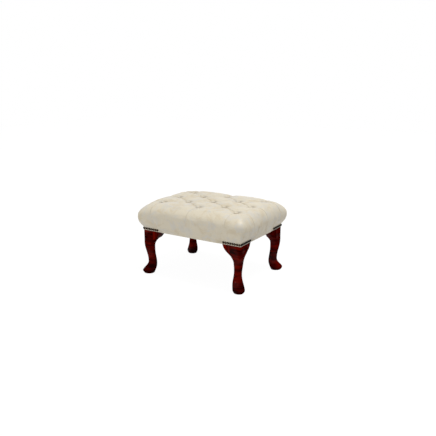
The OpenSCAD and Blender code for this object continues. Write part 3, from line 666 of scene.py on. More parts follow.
pad = Pad(PAD_CELLS, PAD_FULLNESS, WELL_SLACK)
pad_shares = shoulder_shares(PAD_FLAT_RINGS, PAD_ROUND_RINGS, PAD_LAST_ANGLE)
foam_rings = [pad.shoulder_ring(share, foam_depth) for share in pad_shares]
foam_rings.append(pad.wall_ring(board_high.z, foam_swell, foam_corner))
foam_faces, foam_edge = pad.faces(len(foam_rings))
foam = make_piece("foam_pad_crowned", np.concatenate([pad.top(foam_depth).reshape(-1, 3), *foam_rings]),
    foam_faces + [foam_edge[::-1].tolist()], upholstery_foam(), "foam", ["foam_pad"])

under = foam_depth - SOFT_GAP
face_rings = [pad.shoulder_ring(share, skin) for share in pad_shares]
face_rings += [pad.flank_ring(share, skin) for share in np.linspace(0, WADDING_DOWN, FACE_RINGS)]
back_rings = [pad.shoulder_ring(share, under) for share in pad_shares]
back_rings.append(pad.wall_ring(board_high.z - SOFT_GAP, foam_swell + SOFT_GAP, foam_corner + SOFT_GAP))
back_rings += [pad.wall_ring(z, SOFT_GAP - skin, HEM_CORNER)
    for z in np.linspace(board_high.z - SOFT_GAP, wadding_z, BACK_RINGS)]
wad_faces, wad_edge = pad.faces(len(face_rings))
wad_face = np.concatenate([pad.top(skin).reshape(-1, 3), *face_rings])
wad_back = np.concatenate([pad.top(under).reshape(-1, 3), *back_rings])
shift = len(wad_face)
wad_faces += [tuple(i + shift for i in reversed(face)) for face in wad_faces]
wad_edge = wad_edge.tolist()
wad_faces += [(a, a + shift, b + shift, b) for a, b in zip(wad_edge, wad_edge[1:] + wad_edge[:1])]
wadding = make_piece("wadding_layer", np.concatenate([wad_face, wad_back]), wad_faces,
    polyester_wadding(), "wadding", ["wadding"])

# Leather cover: one cream hide pulled down over the pad, buttoned so that it pleats from button to
# button and from the outer buttons over the sides, then folded under the rails and stapled.
COVER_CELLS, COVER_FULLNESS = 26, 0.90
FLAT_RINGS, ROUND_RINGS, FLANK_RINGS = 8, 26, 12
PRESSURE, BLOWN_FRAMES, CLOTH_STEPS, MOST_MOVED, MOST_SUNK = 4.0, 20, 6, 0.0028, 0.0002
HIDE_MASS, HIDE_STIFFNESS, HIDE_BENDING, HIDE_SLACK = 0.3, 25, 2.0, 0.012
BUTTON_HOLD, PLEAT_HOLD, HEM_HOLD = 0.030, 0.9, 0.012
HIGHEST, HIGHEST_SOFT = pad_top - 0.0018, 0.002
GROOVE_DEPTH, GROOVE_WIDTH = 0.0012, 0.0020
# Grooves sink the pleats into the hide; the lines paint them darker as well, as painted shade in the folds,
# over the top and down the sides.
GROOVES, PLEAT_LINE_SHADES = (0.0018, 0.0010), (1.5, 0.7)
LINE_WIDTH, LINE_RUN, LINE_HIGH, LINE_FAINT = 0.0020, 0.015, 0.308, 0.14
LINE_LOW = (0.288, 0.264, 0.284, 0.268)
SIDE_LINE_SHADES = (0.45, 0.70, 0.70, 0.55)
# The ring round each button's rim: the cloth is held still inside it, and it is painted as shade, set off
# to one side by the shift.
RING_PLACE, RING_WIDTH, RING_FORM, RING_SHIFT = 0.0090, 0.0090, 1.5, (0.0042, 0.0026)
# Painted shade in the valleys between the puffs, and a painted shadow set behind and to one side of each
# button.
VALLEY_SHADE, HOLLOW_SHADE = 0.16, 0.42
HOLLOW_SHIFT, HOLLOW_WIDTH = (0.011, 0.010), 0.0125
RIDGE_HEIGHT, RIDGE_PLACE, RIDGE_WIDTH = 0.0014, 0.0045, 0.0025
FOLD_HEIGHT, FOLD_PLACE, FOLD_WIDTH, FOLDS = 0.0005, 0.016, 0.009, (6, 7, 5, 8)
HEM_RUN = ((0.0100, 0.0), (0.0060, 0.0001), (0.0030, 0.0006),
    (0.0008, 0.0009), (-0.0008, 0.0005), (-0.0014, -0.0004))
TURNED_UNDER, TURNED_STEPS, TUCKED, TRIMMED = 0.0157, 3, 0.0006, 0.0010
# Painted shade on the hem's rings where nails hold it, under and beside the nail heads.
NAILED_SHADE = (0.55, 0.60, 0.45, 0.35, 0.30, 0.30, 0.30, 0.30, 0.30)
BRACKET_CLEAR, STRAIGHT = 0.004, 0.99
HIDE_SHARP = math.radians(75)
turn_x, turn_y = (half - BRACKET_REACH - BRACKET_CLEAR for half in (half_x, half_y))


def doubled(field, closed):
    """The field with a row put between every two rows, on a smooth curve through the four nearest."""
    if closed:
        framed = np.concatenate([field[-1:], field, field[:2]])
    else:
        framed = np.concatenate([2 * field[:1] - field[1:2], field, 2 * field[-1:] - field[-2:-1]])
    middle = (9 * (framed[1:-2] + framed[2:-1]) - framed[:-3] - framed[3:]) / 16
    out = np.empty((len(field) + len(middle), *field.shape[1:]))
    out[::2], out[1::2] = field, middle
    return out


def blown_up(points, faces, held):
    """How far each point moves when the slack leather is blown up from inside, where it isn't held."""
    mesh = bpy.data.meshes.new("cover_at_work")
    mesh.from_pydata(points.tolist(), [], faces)
    ways = np.array([v.vector for v in mesh.vertex_normals])
    work = bpy.data.objects.new("cover_at_work", mesh)
    bpy.context.scene.collection.objects.link(work)
    group = work.vertex_groups.new(name="held")
    for i, weight in enumerate(held):
        group.add([i], float(weight), "REPLACE")
    cloth = work.modifiers.new("cloth", "CLOTH")
    cloth.settings.quality = CLOTH_STEPS
    cloth.settings.mass = HIDE_MASS
    cloth.settings.tension_stiffness = cloth.settings.compression_stiffness = HIDE_STIFFNESS
    cloth.settings.bending_stiffness = HIDE_BENDING
    cloth.settings.shrink_min = -HIDE_SLACK
    cloth.settings.vertex_group_mass = "held"
    cloth.settings.use_pressure = True
    cloth.settings.uniform_pressure_force = PRESSURE
    cloth.settings.effector_weights.gravity = 0
    cloth.point_cache.frame_start, cloth.point_cache.frame_end = 1, BLOWN_FRAMES
    scene = bpy.context.scene
    for frame_number in range(1, BLOWN_FRAMES + 1):
        scene.frame_set(frame_number)
    shape = work.evaluated_get(bpy.context.evaluated_depsgraph_get()).to_mesh()
    after = np.array([v.co for v in shape.vertices])
    scene.frame_set(1)
    bpy.data.objects.remove(work)
    bpy.data.meshes.remove(mesh)
    moved = after - points
    along = (moved * ways).sum(axis=1, keepdims=True)
    moved += ways * (np.maximum(along, -MOST_SUNK) - along)
    far = np.linalg.norm(moved, axis=1, keepdims=True)
    return moved * np.minimum(1, MOST_MOVED / np.maximum(far, 1e-9))


def side_pleats(cover):
    """Distance of the spokes from the nearest pleat over the sides."""
    beside = np.abs(cover.lines / 2 - np.round(cover.lines / 2)) * 2
    runs = []
    for side in range(4):
        runs += [*(beside * (BUTTON_COLUMN, BUTTON_ROW)[side % 2]), *(1 + 0 * cover.corner)]
    return np.array(runs)


def stacked(cover, shares, downs, depths=None):
    """The cover's rings over the shoulders and down the flanks, each sunk by its depths."""
    if depths is None:
        depths = np.zeros(len(shares) + len(downs))
    rings = [cover.shoulder_ring(share, depth) for share, depth in zip(shares, depths)]
    rings += [cover.flank_ring(share, depth) for share, depth in zip(downs, depths[len(shares):])]
    return np.array(rings)


def simulated(shares, downs):
    """How far the leather moves, worked out on a coarser mesh and brought to the fine one, as two
    fields: over the top, and over the rings."""
    coarse = Pad(COVER_CELLS // 2, COVER_FULLNESS)
    top, beside = coarse.top(), side_pleats(coarse)
    rings = stacked(coarse, shares, downs)
    points = np.concatenate([top.reshape(-1, 3), rings.reshape(-1, 3)])
    near_button = np.min([np.hypot(points[:, 0] - x, points[:, 1] - y) for x, y in BUTTONS], axis=0)
    in_pleat = from_pleat(*np.meshgrid(coarse.lines, coarse.lines))
    pleated = (beside < LINE_WIDTH) & (rings[..., 2] > LINE_HIGH)
    held = np.concatenate([(in_pleat < LINE_WIDTH).ravel(), pleated.ravel()]) * PLEAT_HOLD
    held = np.maximum(held, (near_button < RING_PLACE) * 1.0)
    held = np.maximum(held, 1 - share_of(points[:, 2], hem_z, hem_z + HEM_HOLD))
    moved = blown_up(points, coarse.faces(len(rings))[0], held)
    moved *= 1 - np.exp(-(near_button / BUTTON_HOLD) ** 2)[:, None]
    moved_top = moved[:top[..., 0].size].reshape(top.shape)
    edge = np.concatenate([np.concatenate([line, np.repeat(line[-1:], len(coarse.corner), axis=0)])
        for line in (moved_top[0], moved_top[:, -1], moved_top[-1, ::-1], moved_top[::-1, 0])])
    rows = np.concatenate([edge[None], moved[top[..., 0].size:].reshape(rings.shape)])
    moved_top = doubled(doubled(moved_top, False).swapaxes(0, 1), False).swapaxes(0, 1)
    return moved_top, doubled(doubled(rows, False)[1:].swapaxes(0, 1), True).swapaxes(0, 1)


def folded(top, in_pleats, near):
    """The top with its pleats drawn in, a ridge beside the ones that run one way, and small folds
    that fan out from the buttons."""
    for distance, depth in zip(in_pleats, GROOVES):
        top[..., 2] -= depth * np.exp(-(distance / GROOVE_WIDTH) ** 2)
    ridge = np.exp(-((in_pleats[0] - RIDGE_PLACE) / RIDGE_WIDTH) ** 2) * np.exp(-near / LINE_RUN)
    top[..., 2] += RIDGE_HEIGHT * ridge
    for number, (x, y) in enumerate(BUTTONS):
        reach = np.hypot(top[..., 0] - x, top[..., 1] - y)
        angle = np.arctan2(top[..., 1] - y, top[..., 0] - x)
        wave = np.sin(FOLDS[number % len(FOLDS)] * angle + number)
        top[..., 2] += FOLD_HEIGHT * wave * np.exp(-((reach - FOLD_PLACE) / FOLD_WIDTH) ** 2)
    return top


def from_shifted(part, shift):
    """Distance from the nearest button, as if every button were shifted."""
    return from_button(*((part[..., i] - shift[i]) / (BUTTON_COLUMN, BUTTON_ROW)[i] for i in (0, 1)))


def rim_shade(part):
    """Painted shade round the buttons' rims, set off to one side of each, from 0 to 1."""
    off_rim = np.maximum(from_shifted(part, RING_SHIFT) - RING_PLACE, 0)
    return np.exp(-(off_rim / RING_WIDTH) ** RING_FORM)


def top_shade(top, steps, in_pleats, near):
    """Painted shade on the top: along its pleats, in its valleys, as a shadow behind its buttons, and round
    them.
    """
    # Painted shade along the top's pleats, strongest near the buttons.
    drawn = [share * np.exp(-(distance / LINE_WIDTH) ** 2) for distance, share in zip(in_pleats, PLEAT_LINE_SHADES)]
    pleat = np.max(drawn, axis=0) * (LINE_FAINT + (1 - LINE_FAINT) * np.exp(-near / LINE_RUN))
    # Painted shade in the valleys, and a painted shadow behind each button.
    valley_shade = VALLEY_SHADE * (1 - tufting(*steps))
    hollow = HOLLOW_SHADE * np.exp(-(from_shifted(top, HOLLOW_SHIFT) / HOLLOW_WIDTH) ** 2)
    return np.max([pleat, valley_shade, hollow, rim_shade(top)], axis=0)


def turned_hem(cover):
    """The hem's rings: over the rails' lower edges and in under them, further in between the
    brackets, and trimmed a little higher where nails hold it."""
    trimmed = TRIMMED * (1 - cover.free)
    rings = []
    for up, out in HEM_RUN:
        ring = cover.wall_ring(rail_low.z + up, out, HEM_CORNER + out, free=True)
        ring[:, 2] += trimmed * share_of(up, HEM_RUN[0][0], HEM_RUN[-1][0])
        rings.append(ring)
    last_up, last_out = HEM_RUN[-1]
    last, way = cover.outline(last_out, HEM_CORNER)
    lengthways, crossways = np.abs(way[:, 1]) > STRAIGHT, np.abs(way[:, 0]) > STRAIGHT
    between = lengthways & (np.abs(last[:, 0]) < turn_x) | crossways & (np.abs(last[:, 1]) < turn_y)
    reach = np.where(between, TURNED_UNDER, TUCKED)
    for step in range(1, TURNED_STEPS + 1):
        place = last - way * (reach * step / TURNED_STEPS)[:, None]
        rings.append(np.column_stack([place, rail_low.z + last_up + trimmed]))
    return np.array(rings)


def cover_points():
    """The cover's points, the painted shade on each one, from 0 to 1, and its faces."""
    cover = Pad(COVER_CELLS, COVER_FULLNESS)
    shares = shoulder_shares(FLAT_RINGS, ROUND_RINGS)
    downs = np.linspace(0, 1, FLANK_RINGS + 1)[1:]
    beside = side_pleats(cover)
    heights = stacked(cover, shares, downs)[..., 2]
    fades = ease(0, 1, share_of(heights, cover.by_side(LINE_LOW), LINE_HIGH))
    grooves = GROOVE_DEPTH * np.exp(-(beside / GROOVE_WIDTH) ** 2) * fades
    top, rings = cover.top(), stacked(cover, shares, downs, grooves)
    moved_top, moved_rings = simulated(shares[1::2], downs[1::2])
    top, rings = top + moved_top, rings + moved_rings
    steps = np.meshgrid(cover.lines, cover.lines)
    in_pleats, near = from_pleats(*steps), from_button(*steps)
    top = folded(top, in_pleats, near)
    for part in (top, rings):
        part[..., 2] = soft_least(part[..., 2], HIGHEST, HIGHEST_SOFT)
    # Painted shade along the pleats over the sides, fading down the flanks.
    side_shade = cover.by_side(SIDE_LINE_SHADES) * np.exp(-(beside / LINE_WIDTH) ** 2) * fades
    # Painted shade for every point: on the top, along the sides' pleats and round the rims, and under the
    # nails.
    crease = [top_shade(top, steps, in_pleats, near), np.maximum(side_shade, rim_shade(rings)),
        np.outer(NAILED_SHADE, 1 - cover.free)]
    rings = np.concatenate([rings, turned_hem(cover)])
    points = np.concatenate([top.reshape(-1, 3), rings.reshape(-1, 3)])
    return points, np.concatenate([part.ravel() for part in crease]), cover.faces(len(rings))[0]


LEATHER_CREAM = (0.755, 0.684, 0.538)
LEATHER_PINK = (0.685, 0.592, 0.425)
LEATHER_GREY = (0.700, 0.662, 0.580)
# One dark tone for the pebbled grain and for the painted shade.
LEATHER_GRAIN_AND_SHADE = (0.34, 0.28, 0.20)
CLOUDED, PEBBLED, SHADE_PAINTED = 0.85, 0.06, 0.70


def cream_leather(name):
    """Aniline cream hide: clouded pinkish and greyish, fine pebbled grain, and darker with the painted
    shade that its points carry.
    """
    hide = Finish(name, Specular_IOR_Level=0.5)
    pink = hide.between(hide.noise(19, 5, 0.62, shift=(2, 5, 1), distortion=0.7), 0.47, 0.62)
    grey = hide.between(hide.noise(26, 5, 0.62, shift=(7, 2, 4), distortion=0.7), 0.48, 0.62)
    tone = hide.mix(pink * CLOUDED, LEATHER_CREAM, LEATHER_PINK)
    tone = hide.mix(grey * CLOUDED, tone, LEATHER_GREY)
    grain = hide.node("ShaderNodeTexVoronoi", None, {"Vector": hide.place, "Scale": 720.0})
    fine = hide.noise(1500, 2, 0.6)
    tone = hide.mix(hide.between(grain, 0.15, 0.6) * PEBBLED, tone, LEATHER_GRAIN_AND_SHADE)
    crease = hide.node("ShaderNodeAttribute", {"attribute_name": "crease"}, out="Fac")
    # Painted shade, as much as the points' shade attribute gives.
    tone = hide.mix(crease * SHADE_PAINTED, tone, LEATHER_GRAIN_AND_SHADE)
    soft = hide.noise(60, 3, 0.6)
    relief = hide.bump(soft, 0.0012, 0.25)
    return hide.wear(Base_Color=tone, Roughness=0.38 + fine * 0.12,
        Normal=hide.bump(grain * 0.7 + fine * 0.3, 0.00018, 0.35, relief))


points, in_shade, faces = cover_points()
cover = make_piece("leather_cover_buttoned", points, faces, cream_leather("cream_leather"),
    "leather", ["leather_cover"], HIDE_SHARP)
# The painted shade is stored on the cover's points.
shade_layer = cover.data.attributes.new("crease", "FLOAT", "POINT")
shade_layer.data.foreach_set("value", in_shade.astype(np.float32))
hide_wall = cover.modifiers.new("hide", "SOLIDIFY")
hide_wall.thickness, hide_wall.offset = LEATHER, -1

# Buttons: thirteen domed buttons covered with the same hide, gathered behind the rim. Waxed flax twine
# draws each one down through the pad and the board, and is knotted over a short beech toggle.


class Recipe(Tree):
    """A geometry tree with named inputs, which makes things that repeat on a mesh of points."""

    def __init__(self, name, **inputs):
        group = bpy.data.node_groups.new(name, "GeometryNodeTree")
        super().__init__(group)
        kinds = {float: "NodeSocketFloat", int: "NodeSocketInt", bpy.types.Material: "NodeSocketMaterial"}
        group.interface.new_socket("Points", in_out="INPUT", socket_type="NodeSocketGeometry")
        group.interface.new_socket("Geometry", in_out="OUTPUT", socket_type="NodeSocketGeometry")
        for key, value in inputs.items():
            group.interface.new_socket(key, in_out="INPUT", socket_type=kinds[type(value)])
        self.values = inputs
        self.entry = group.nodes.new("NodeGroupInput")
        self.exit = group.nodes.new("NodeGroupOutput")

    def __getitem__(self, key):
        return Socket(self, self.entry.outputs[key])

    def named(self, attribute, kind="FLOAT_VECTOR"):
        """An attribute of the points."""
        return self.node("GeometryNodeInputNamedAttribute", {"data_type": kind}, {"Name": attribute})

    def joined(self, x, y, z):
        """A vector from its three parts."""
        return self.node("ShaderNodeCombineXYZ", None, {"X": x, "Y": y, "Z": z})

    def about(self, spread, seed):
        """A random vector for each point, up to spread either way along each axis."""
        jitter = self.node("FunctionNodeRandomValue", {"data_type": "FLOAT_VECTOR"},
            {0: (-1.0, -1.0, -1.0), 1: (1.0, 1.0, 1.0), "Seed": seed})
        return self.node("ShaderNodeVectorMath", {"operation": "SCALE"}, {0: jitter, "Scale": spread})

    def on_points(self, thing, rotation, scale=(1.0, 1.0, 1.0)):
        """An instance of the thing on every point."""
        return self.node("GeometryNodeInstanceOnPoints", None,
            {"Points": self["Points"], "Instance": thing, "Rotation": rotation, "Scale": scale})

    def finish(self, things):
        """Joins the instances, makes them real and gives them the finish."""
        whole = self.node("GeometryNodeJoinGeometry", None, {"Geometry": things})
        real = self.node("GeometryNodeRealizeInstances", None, {"Geometry": whole})
        smooth = self.node("GeometryNodeSetShadeSmooth", None, {"Geometry": real})
        done = self.node("GeometryNodeSetMaterial", None, {"Geometry": smooth, "Material": self["Finish"]})
        self.tree.links.new(done.socket, self.exit.inputs["Geometry"])

    def make(self, name, points, slot, stands_for, **attributes):
        """Runs the recipe on points with their attributes, and keeps what it makes as one plain mesh."""
        mesh = bpy.data.meshes.new(name + "_places")
        mesh.from_pydata([tuple(point) for point in points], [], [])
        for key, values in attributes.items():
            vector = np.ndim(values) == 2
            layer = mesh.attributes.new(key, "FLOAT_VECTOR" if vector else "FLOAT", "POINT")
            layer.data.foreach_set("vector" if vector else "value", np.asarray(values, np.float32).ravel())
        piece = bpy.data.objects.new(name, mesh)
        bpy.context.scene.collection.objects.link(piece)
        maker = piece.modifiers.new("recipe", "NODES")
        maker.node_group = self.tree
        for item in self.tree.interface.items_tree:
            if item.name in self.values:
                maker[item.identifier] = self.values[item.name]
        made = bpy.data.meshes.new_from_object(piece.evaluated_get(bpy.context.evaluated_depsgraph_get()))
        piece.modifiers.remove(maker)
        piece.data = made
        made.name = name
        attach(piece, "root")
        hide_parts(*stands_for)
        return piece


BUTTON_DIAMETER, BUTTON_DOME, BUTTON_BACK, BUTTON_RIM = 0.019, 0.0042, 0.0019, 0.0023
BUTTON_SEGMENTS, BUTTON_RINGS = 72, 28
GATHERS, GATHERED, BUTTON_TILT = 18.0, 0.03, 0.05
GATHERED_BELOW, SMOOTH_ABOVE = -0.1, 0.55
# Painted shade on the buttons: some all over, as they sit deep in the wells, and more in the gathers at the
# rim.
BUTTON_SHADE, GATHER_SHADE = 0.15, 0.25
button_recipe = Recipe("covered_buttons", Diameter=BUTTON_DIAMETER, Dome=BUTTON_DOME, Back=BUTTON_BACK,
    Rim=BUTTON_RIM, Gather=GATHERED, Tilt=BUTTON_TILT, Seed=4, Finish=cream_leather("button_leather"))


def cover_buttons(recipe):
    """A ball pressed to a dome in front and a flatter one behind, with the leather gathered at its rim and
    painted shade over it, most in the gathers.
    """
    ball = recipe.node("GeometryNodeMeshUVSphere", None,
        {"Segments": BUTTON_SEGMENTS, "Rings": BUTTON_RINGS, "Radius": 1.0}, out="Mesh")
    place = recipe.node("GeometryNodeInputPosition")
    x, y, z = (recipe.part(place, axis) for axis in "XYZ")
    turn = recipe.maths("ARCTAN2", y, x)
    front = recipe.maths("MAXIMUM", z, 0.0)
    behind = recipe.maths("MINIMUM", z, 0.0)
    wave = recipe.maths("SINE", turn * GATHERS)
    at_rim = 1 - recipe.node("ShaderNodeMapRange", None,
        {"Value": z, "From Min": GATHERED_BELOW, "From Max": SMOOTH_ABOVE})
    spread = recipe["Diameter"] * 0.5 * (1 - (1 + wave) * at_rim * recipe["Gather"] * 0.5)
    height = recipe["Rim"] + front * recipe["Dome"] + behind * recipe["Back"]
    # Painted shade: all over the button, and more in the gathers at its rim.
    crease = BUTTON_SHADE + at_rim * (1 + wave) * GATHER_SHADE
    marked = recipe.node("GeometryNodeStoreNamedAttribute", {"data_type": "FLOAT", "domain": "POINT"},
        {"Geometry": ball, "Name": "crease", "Value": crease})
    button = recipe.node("GeometryNodeSetPosition", None,
        {"Geometry": marked, "Position": recipe.joined(x * spread, y * spread, height)})
    upright = recipe.node("FunctionNodeAlignRotationToVector", {"axis": "Z"},
        {"Vector": (0.0, 0.0, 1.0) + recipe.about(recipe["Tilt"], recipe["Seed"])})
    recipe.finish([recipe.on_points(button, upright)])


cover_buttons(button_recipe)
button_recipe.make("buttons_covered", [(x, y, button_z) for x, y in BUTTONS], "leather", ["buttons"])


FLAX_DARK, FLAX_PALE = (0.36, 0.28, 0.17), (0.62, 0.53, 0.37)


def flax_twine():
    """Two-ply waxed flax: its twist shows as slanting bands."""
    twine = Finish("flax_twine", Specular_IOR_Level=0.25)
    ply = twine.node("ShaderNodeTexWave", {"wave_type": "BANDS", "bands_direction": "DIAGONAL"},
        {"Vector": twine.place, "Scale": 320.0, "Distortion": 1.5, "Detail Scale": 3.0})
    fibre = twine.noise(900, 3, 0.6)
    return twine.wear(Base_Color=twine.mix(ply, FLAX_DARK, FLAX_PALE),
        Roughness=0.6 + fibre * 0.2, Normal=twine.bump(ply + fibre * 0.4, 0.0004, 0.7))


dress("button_twine", flax_twine())
dress("twine_toggles", beech_along_x)

# Staples: fine zinc wire staples shot up into the rails, through the hem that is turned under them.
# Their crowns lie flat on the leather.
STAPLE_WIDTH, STAPLE_LEG, STAPLE_WIRE = 0.010, 0.008, 0.0009
HEM_PITCH, HEM_TURN, STAPLE_SLANT, BEND_STEPS = 0.030, 0.014, 0.05, 4
staple_recipe = Recipe("wire_staples", Width=STAPLE_WIDTH, Leg=STAPLE_LEG, Wire=STAPLE_WIRE,
    Slant=STAPLE_SLANT, Seed=7, Finish=zinc_plate)


def bend_staples(recipe):
    """Four points in a row, lifted to a U, rounded at its bends and given the wire's square section."""
    row = recipe.node("GeometryNodeMeshLine", None, {"Count": 4})
    place = recipe.node("GeometryNodeInputIndex") - 1.5
    side = recipe.maths("SIGN", place)
    at_end = recipe.maths("GREATER_THAN", side * place, 1.0)
    across = side * (recipe["Width"] - recipe["Wire"]) * 0.5
    bent = recipe.node("GeometryNodeSetPosition", None, {"Geometry": row,
        "Position": recipe.joined(across, 0.0, at_end * recipe["Leg"] - recipe["Wire"] * 0.5)})
    curve = recipe.node("GeometryNodeMeshToCurve", None, {"Mesh": bent})
    curve = recipe.node("GeometryNodeFilletCurve", {"mode": "POLY"},
        {"Curve": curve, "Count": BEND_STEPS, "Radius": recipe["Wire"]})
    section = recipe.node("GeometryNodeCurvePrimitiveQuadrilateral", None,
        {"Width": recipe["Wire"], "Height": recipe["Wire"]})
    wire = recipe.node("GeometryNodeCurveToMesh", None,
        {"Curve": curve, "Profile Curve": section, "Fill Caps": True})
    aim = recipe.node("FunctionNodeAlignRotationToVector", {"axis": "X"},
        {"Vector": recipe.named("run") + recipe.about(recipe["Slant"], recipe["Seed"]) * (1.0, 1.0, 0.0)})
    recipe.finish([recipe.on_points(wire, aim)])


def staple_places(inset, pitch, height):
    """Staples evenly spread between the brackets on all four rails, and the way each one runs."""
    places, runs = [], []
    for way in (-1, 1):
        for half_run, far, lengthways in ((turn_x, half_y, True), (turn_y, half_x, False)):
            count = int((half_run - STAPLE_WIDTH) / pitch)
            for step in range(-count, count + 1):
                here, out = step * pitch, way * (far - inset)
                places.append((here, out, height) if lengthways else (out, here, height))
                runs.append((1, 0, 0) if lengthways else (0, 1, 0))
    return places, runs


bend_staples(staple_recipe)
hem_under = rail_low.z - LEATHER
places, runs = staple_places(HEM_TURN / 2, HEM_PITCH, hem_under)
staple_recipe.make("hem_staples_bent", places, "zinc_steel", ["hem_staples"], run=runs)

# Nails: sixteen dome-headed nails at each corner, set head to head over the hem on both faces.
# They are brass, antiqued nearly black and worn through on their crowns, with the bare brass shifted up
# each head as a painted highlight and held back on the stool's two ends as painted shade.
NAILS_PER_SIDE, NAIL_HEAD, NAIL_DOME = 8, 0.011, 0.0034
NAIL_SHANK, NAIL_LENGTH, NAIL_SNIPPED = 0.0015, 0.012, 0.0045
NAIL_SEGMENTS, NAIL_RINGS, SHANK_SIDES, POINT_SHARE = 24, 14, 6, 0.1
NAIL_HEIGHT, NAIL_CORNER_GAP, NAIL_TILT = 0.007, 0.0005, 0.045
LACQUER_BLACK, LACQUER_BROWN = (0.002, 0.0015, 0.001), (0.012, 0.008, 0.005)
RUBBED_AND_HIGHLIT_BRASS = (0.50, 0.33, 0.23)
# Shares of the bare brass: a painted highlight up each head, real wear in patches, and painted shade on the
# stool's two ends.
UPPER_HIGHLIGHT, PATCHY_RUB, END_SHADE = 0.15, 0.30, 0.12
nail_z = rail_low.z + NAIL_HEIGHT


def antiqued_brass():
    """Brass under a near-black lacquer, worn away in patches on the crowns of the heads. The bare brass is
    shifted up each head as a painted highlight, and held back on the stool's two ends as painted shade."""
    brass = Finish("antiqued_brass", Metallic=1.0)
    patches = brass.noise(700, 3, 0.65)
    crown = brass.node("ShaderNodeAttribute", {"attribute_name": "crown"}, out="Fac")
    facing = brass.node("ShaderNodeAttribute", {"attribute_name": "facing"}, out="Vector")
    on_end = brass.maths("ABSOLUTE", brass.part(facing, "X"))
    upper = (brass.part(brass.place, "Z") - nail_z) / (NAIL_HEAD / 2)
    # Worn crowns and patches are real; the upper share is a painted highlight and the end share is painted
    # shade.
    wear_and_light = crown + upper * UPPER_HIGHLIGHT + (patches - 0.5) * PATCHY_RUB - on_end * END_SHADE
    rubbed_and_highlit = brass.between(wear_and_light, 0.93, 1.08)
    tone = brass.mix(patches, LACQUER_BLACK, LACQUER_BROWN)
    return brass.wear(Base_Color=brass.mix(rubbed_and_highlit, tone, RUBBED_AND_HIGHLIT_BRASS),
        Roughness=0.42 - rubbed_and_highlit * 0.12 + patches * 0.1, Normal=brass.bump(patches, 0.0001, 0.5))


nail_recipe = Recipe("dome_nails", Head=NAIL_HEAD, Dome=NAIL_DOME, Shank=NAIL_SHANK,
    Tilt=NAIL_TILT, Seed=11, Finish=antiqued_brass())


def forge_nails(recipe):
    """A ball flattened behind to a dome head, and a pointed shank under it."""
    ball = recipe.node("GeometryNodeMeshUVSphere", None,
        {"Segments": NAIL_SEGMENTS, "Rings": NAIL_RINGS, "Radius": 1.0}, out="Mesh")
    place = recipe.node("GeometryNodeInputPosition")
    x, y, z = (recipe.part(place, axis) for axis in "XYZ")
    crown = recipe.maths("MAXIMUM", z, 0.0)
    marked = recipe.node("GeometryNodeStoreNamedAttribute", {"data_type": "FLOAT", "domain": "POINT"},
        {"Geometry": ball, "Name": "crown", "Value": crown})
    radius = recipe["Head"] * 0.5
    head = recipe.node("GeometryNodeSetPosition", None, {"Geometry": marked,
        "Position": recipe.joined(x * radius, y * radius, crown * recipe["Dome"])})
    spike = recipe.node("GeometryNodeMeshCone", None, {"Vertices": SHANK_SIDES, "Depth": 1.0,
        "Radius Top": recipe["Shank"] * POINT_SHARE, "Radius Bottom": recipe["Shank"] * 0.5}, out="Mesh")
    spike = recipe.node("GeometryNodeTransform", None, {"Geometry": spike, "Rotation": (math.pi, 0.0, 0.0)})
    aim = recipe.node("FunctionNodeAlignRotationToVector", {"axis": "Z"},
        {"Vector": recipe.named("facing") + recipe.about(recipe["Tilt"], recipe["Seed"])})
    length = recipe.joined(1.0, 1.0, recipe.named("length", "FLOAT"))
    recipe.finish([recipe.on_points(head, aim), recipe.on_points(spike, aim, length)])


forge_nails(nail_recipe)
for corner, (way_x, way_y) in CORNERS.items():
    places, facings, lengths = [], [], []
    for number in range(NAILS_PER_SIDE):
        step = NAIL_HEAD / 2 + NAIL_CORNER_GAP + number * NAIL_HEAD
        places += [(way_x * (hem_half[0] - step), way_y * hem_half[1], nail_z),
            (way_x * hem_half[0], way_y * (hem_half[1] - step), nail_z)]
        facings += [(0, way_y, 0), (way_x, 0, 0)]
        lengths += [NAIL_LENGTH if number else NAIL_SNIPPED] * 2
    nail_recipe.make(f"nails_{corner}_domed", places, "antique_brass", [f"nails_{corner}"],
        facing=facings, length=lengths)

# Dust cover: black cambric over the open bottom of the frame, cut round the legs and brackets and
# stapled to the rails. It hangs a little slack in the middle.
DUST_THICKNESS, DUST_INSET, DUST_PITCH, DUST_CELL = 0.0004, 0.006, 0.062, 0.008
DUST_SAG, SAG_FORM, DUST_RIPPLE = 0.0016, 0.6, 0.0004
CAMBRIC_BLACK, CAMBRIC_LINT = (0.010, 0.010, 0.011), (0.030, 0.030, 0.031)
dust_z = hem_under - STAPLE_WIRE
dust_x, dust_y = half_x - DUST_INSET, half_y - DUST_INSET
staple_inset = HEM_TURN + (rail_high.y - rail_low.y - HEM_TURN) / 2
leg_clear = LEG_SQUARE + BRACKET_CLEAR
side_clear = BRACKET_THICKNESS + BRACKET_CLEAR
tip_clear = BRACKET_REACH + BRACKET_CLEAR


def black_cambric():
    """Glazed black cotton: a plain weave of threads under a millimetre apart."""
    cloth = Finish("black_cambric", Specular_IOR_Level=0.2)
    threads = [cloth.node("ShaderNodeTexWave", {"wave_type": "BANDS", "bands_direction": axis},
        {"Vector": cloth.place, "Scale": 420.0, "Distortion": 0.4}) for axis in "XY"]
    weave = threads[0] * threads[1]
    lint = cloth.noise(300, 4, 0.7)
    return cloth.wear(Base_Color=cloth.mix(lint, CAMBRIC_BLACK, CAMBRIC_LINT),
        Roughness=0.75 + lint * 0.15, Normal=cloth.bump(weave + lint * 0.3, 0.0003, 0.6))


def dust_lines(half):
    """Lines across the sheet from edge to edge, with one at each notch."""
    notches = [half + DUST_INSET - clear for clear in (leg_clear, side_clear, tip_clear)]
    stops = sorted({-half, half, *notches, *(-notch for notch in notches)})
    runs = [np.linspace(a, b, max(2, round((b - a) / DUST_CELL) + 1))[:-1]
        for a, b in zip(stops, stops[1:])]
    return np.concatenate([*runs, [half]])


